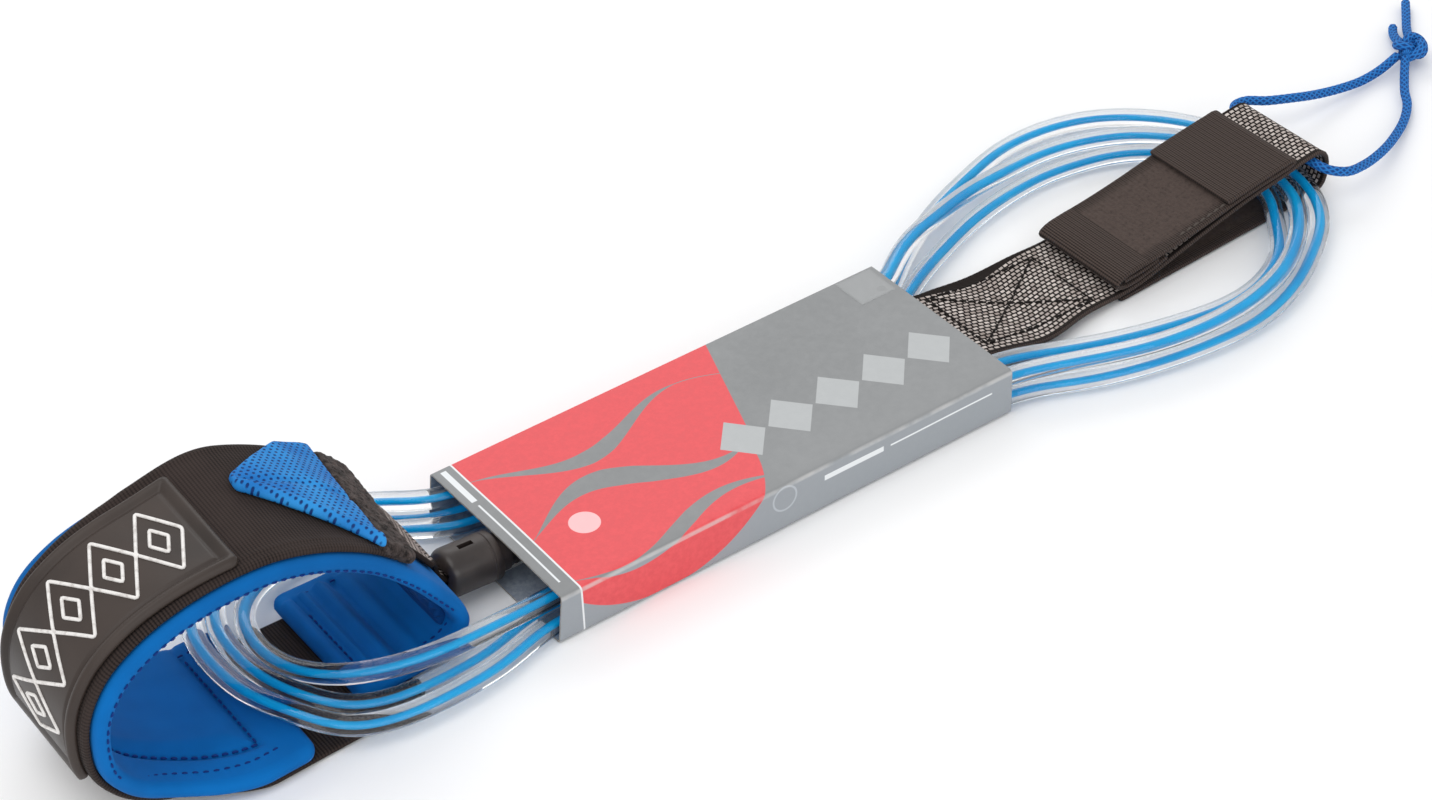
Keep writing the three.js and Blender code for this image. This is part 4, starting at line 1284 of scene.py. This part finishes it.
def make_rail_webbing():
    def lips(x):
        near, far = bulged_lips(x)
        share = np.clip((x - 56) / 24, 0, 1)
        return -1.5 + (near + 1.5) * share, 6.5 + (far - 6.5) * share

    layer = rail_layer(RAIL_WEBBING, lips)
    layer.start = 4.2
    web = webbing_strip("rail_webbing_woven", layer, round_ends=(True, False))
    settle(web, "root", "rail_webbing")
    left, right = layer.nearest(88, 6.3), layer.nearest(130, 3.1)
    near, far = -10.5, 17.5
    box = [(left, near), (right, near), (right, far), (left, far), (left, near)]
    seam("rail_stitch_box", layer, box, 0.7, BLACK_THREAD, "root")
    seam("rail_stitch_cross", layer, [box[0], box[2]], 0.72, BLACK_THREAD, "root")
    seam("rail_stitch_cross_back", layer, [box[3], box[1]], 0.72, BLACK_THREAD, "root")


def make_rail_end_loop():
    layer = rail_layer(RAIL_END_LOOP)
    loop = webbing_strip("rail_end_loop_woven", layer, round_ends=(False, True))
    settle(loop, "root", "rail_end_loop")


def make_rail_hook_layer():
    layer = rail_layer([(139.3, 0.75), (176, 0.75), (214.4, 0.75)])
    base = strip("rail_hook_base", layer, -0.7, 0.6, [FUZZY], step=0.7, across=40, corner=1.5, relief=ribs)
    settle(base, "root", "rail_hook_layer")


def make_rail_strap():
    fold = ribbed_strip("rail_fold_ribbed", rail_layer(RAIL_FOLD), 0.72, 1.0)
    settle(fold, "root", "rail_strap_fold")
    tongue = ribbed_strip("rail_fold_tongue", rail_layer(RAIL_TONGUE), 0.6, 0.8)
    settle(tongue, "root")
    arm_layer = rail_layer(RAIL_ARM)
    arm = strip("rail_arm_ribbed", arm_layer, -0.74, 0.74, [FUZZY, RIBBED], step=0.5, across=50, corner=0.8,
                relief=ribs, slots=(1, 1, 0))
    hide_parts("rail_strap")
    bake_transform(arm)
    flap = ribbed_strip("rail_flap_ribbed", rail_layer(RAIL_FLAP), 0.7, 0.9, across=44)
    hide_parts("rail_flap")
    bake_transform(flap)
    edge = rail_lips(175.0)[0] + 1.6
    seam("rail_arm_stitches", arm_layer, [(14, edge), (arm_layer.end - 3, edge + 1.6)], 0.8, GREY_THREAD,
         "rail_strap")


make_rail_webbing()
make_rail_end_loop()
make_rail_hook_layer()
make_rail_strap()

# ---- sleeve ----
SLEEVE = {"length": 157.0, "width": 66.0, "height": 15.7, "card": 0.55, "fold": 1.2, "slant": 1.8}


def sleeve_section(inset):
    """Spots round the sleeve's section, from the middle of its underside towards -Y, and how far each is
    round the unrolled card. The top keeps its own Y, and the sides run on beyond it."""
    half, height, fold = SLEEVE["width"] / 2 - inset, SLEEVE["height"], SLEEVE["fold"] - inset
    low, high = inset, height - inset
    arc = np.linspace(0, np.pi / 2, 6)
    turn = np.stack([np.sin(arc), 1 - np.cos(arc)], axis=1) * fold
    flat = half - fold
    near = [(y, low) for y in np.linspace(0, -flat, 12)]
    near += [(-flat - a, low + b) for a, b in turn]
    near += [(-half, z) for z in np.linspace(low + fold, high - fold, 6)[1:-1]]
    near += [(-half + b, high - fold + a) for a, b in turn]
    top = [(y, high) for y in np.linspace(-flat, flat, 28)[1:-1]]
    far = [(-y, z) for y, z in reversed(near[1:])]
    section = np.array(near + top + far)
    around = lengths_along(section)
    return section, around - around[len(near) - 1] - flat


def make_sleeve():
    outer, around = sleeve_section(0.0)
    inner, _ = sleeve_section(SLEEVE["card"])
    half = SLEEVE["length"] / 2
    slant_from = 30 - half  # the left mouth's slant starts here
    stations = np.concatenate([[-half], np.linspace(-half + 0.4, half - 0.4, 60), [half]])
    count = len(outer)

    def shell(section, sign):
        grid = np.zeros((len(stations), count, 3))
        grid[..., 0] = stations[:, None]
        grid[..., 1:] = section[None]
        y, z = grid[..., 1], grid[..., 2]
        level = z / SLEEVE["height"]
        into_mouth = np.clip((slant_from - stations[:, None]) / 30, 0, None)
        grid[..., 0] -= SLEEVE["slant"] * (1 - level) * into_mouth
        ends = np.abs(stations[:, None]) / half
        dished = (1 - (y / CARD_EDGE) ** 2).clip(0, 1) * (level > 0.5)
        seed = grid.copy()
        grid[..., 2] += dished * (0.35 * wobble(seed, 42.0, 3.0) + 0.25 * ends**4) * sign
        side_bow = (1 - (2 * level - 1) ** 2).clip(0, 1) * (np.abs(y) > CARD_EDGE - 2)
        grid[..., 1] += np.sign(y) * side_bow * 0.35 * wobble(seed, 38.0, 7.0)
        return grid

    out, inn = shell(outer, 1), shell(inner, 1)
    rings = len(stations)
    spots = np.vstack([out.reshape(-1, 3), inn.reshape(-1, 3)])
    i, j = np.meshgrid(np.arange(rings - 1), np.arange(count - 1), indexing="ij")
    row, next_row = i * count + j, (i + 1) * count + j
    quad = np.stack([row, next_row, next_row + 1, row + 1], -1).reshape(-1, 4)
    to_inside = rings * count  # from an outer spot's number to the inner one's
    faces = quad.tolist() + (quad[:, ::-1] + to_inside).tolist()
    slots = [0] * len(quad) + [2] * len(quad)
    for ring, flip in ((0, 1), (rings - 1, -1)):
        for k in range(count - 1):
            a, b = ring * count + k, ring * count + k + 1
            faces.append([a, b, b + to_inside, a + to_inside][::flip])
            slots.append(1)
    uv_at = np.zeros((len(spots), 2))
    uv_at[:, 0] = spots[:, 0]
    uv_at[:, 1] = np.tile(around, rings * 2)
    corner_uv = np.vstack([uv_at[face] for face in faces])
    sleeve = mesh_from("card_sleeve_folded", spots, faces, [CARD, RAW_CARD, INSIDE_CARD], slots, corner_uv)
    outward(sleeve, weld=True)  # the section's first and last spots meet under the sleeve
    sleeve.data.set_sharp_from_angle(angle=math.radians(40))
    settle(sleeve, "root", "card_sleeve")


def make_tape():
    low, high = (np.array(corner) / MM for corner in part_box("seal_sticker"))
    size = high - low
    n = 14
    u, v = np.meshgrid(np.linspace(0, 1, n), np.linspace(0, 1, n), indexing="ij")
    top = np.stack([low[0] + u * size[0], low[1] + v * size[1], np.full_like(u, low[2] - 0.2)], axis=-1)
    top[..., 2] += 0.12 * wobble(top, 4.0, 2.0) + 0.1
    layers = np.concatenate([top.reshape(-1, 3), top.reshape(-1, 3) - (0, 0, 0.1)])
    corners = [a * n + b for a in range(n - 1) for b in range(n - 1)]
    cells = [[k, k + n, k + n + 1, k + 1] for k in corners]
    faces = cells + [[k + n * n for k in reversed(c)] for c in cells]
    rim = [a * n for a in range(n)] + [(n - 1) * n + b for b in range(1, n)]
    rim += [a * n + n - 1 for a in reversed(range(n - 1))] + list(reversed(range(1, n - 1)))
    faces += [[a, b, b + n * n, a + n * n] for a, b in zip(rim, rim[1:] + rim[:1])]
    piece = outward(mesh_from("seal_tape_clear", layers, faces, [TAPE]))
    settle(piece, "root", "seal_sticker")


make_sleeve()
make_tape()

# ---- carried-over CAD pieces ----
CAD_LOOKS = {
    "hook_patch": FUZZY, "cuff_cross_pin": DARK_STEEL, "cuff_washer": STEEL, "cuff_swivel_pin": STEEL,
    "rail_cross_pin": DARK_STEEL, "rail_washer": STEEL, "rail_swivel_pin": STEEL,
}
for node, material in CAD_LOOKS.items():
    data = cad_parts[node].data
    data.materials.clear()
    data.materials.append(material)


# ---- floor and light ----
def make_floor():
    look = Look("pale_floor", (250, 250, 250), 0.9)
    look.set(Base_Color=look.mix(look.noise(3.0, 2.0), (250, 250, 250), (246, 246, 247)))
    size, level = 6000.0, -0.35
    corners = [(-size, -size, level), (size, -size, level), (size, size, level), (-size, size, level)]
    floor = mesh_from("floor", corners, [[0, 1, 2, 3]], [look.material])


def area_light(name, at, towards, size, power):
    data = bpy.data.lights.new(name, "AREA")
    data.shape = "RECTANGLE"
    data.size, data.size_y = size
    data.energy = power
    light = bpy.data.objects.new(name, data)
    way = Vector(towards) - Vector(at)
    light.matrix_world = Matrix.Translation(Vector(at)) @ way.to_track_quat("-Z", "Y").to_matrix().to_4x4()
    bpy.context.scene.collection.objects.link(light)


def make_light():
    world = bpy.data.worlds.new("studio")
    world.use_nodes = True
    background = world.node_tree.nodes["Background"]
    background.inputs[0].default_value = (1.0, 1.0, 1.0, 1)
    background.inputs[1].default_value = 0.78
    bpy.context.scene.world = world
    area_light("key", (-0.5, -0.1, 1.1), (0, 0, 0.02), (0.8, 0.8), 3.8)
    area_light("back", (0.5, 1.0, 0.9), (0, 0, 0.02), (1.2, 0.5), 3.6)
    area_light("fill", (-0.2, -1.2, 0.6), (0, 0, 0.02), (1.2, 0.6), 3.4)
    bpy.context.scene.view_settings.view_transform = "Standard"


make_floor()
make_light()
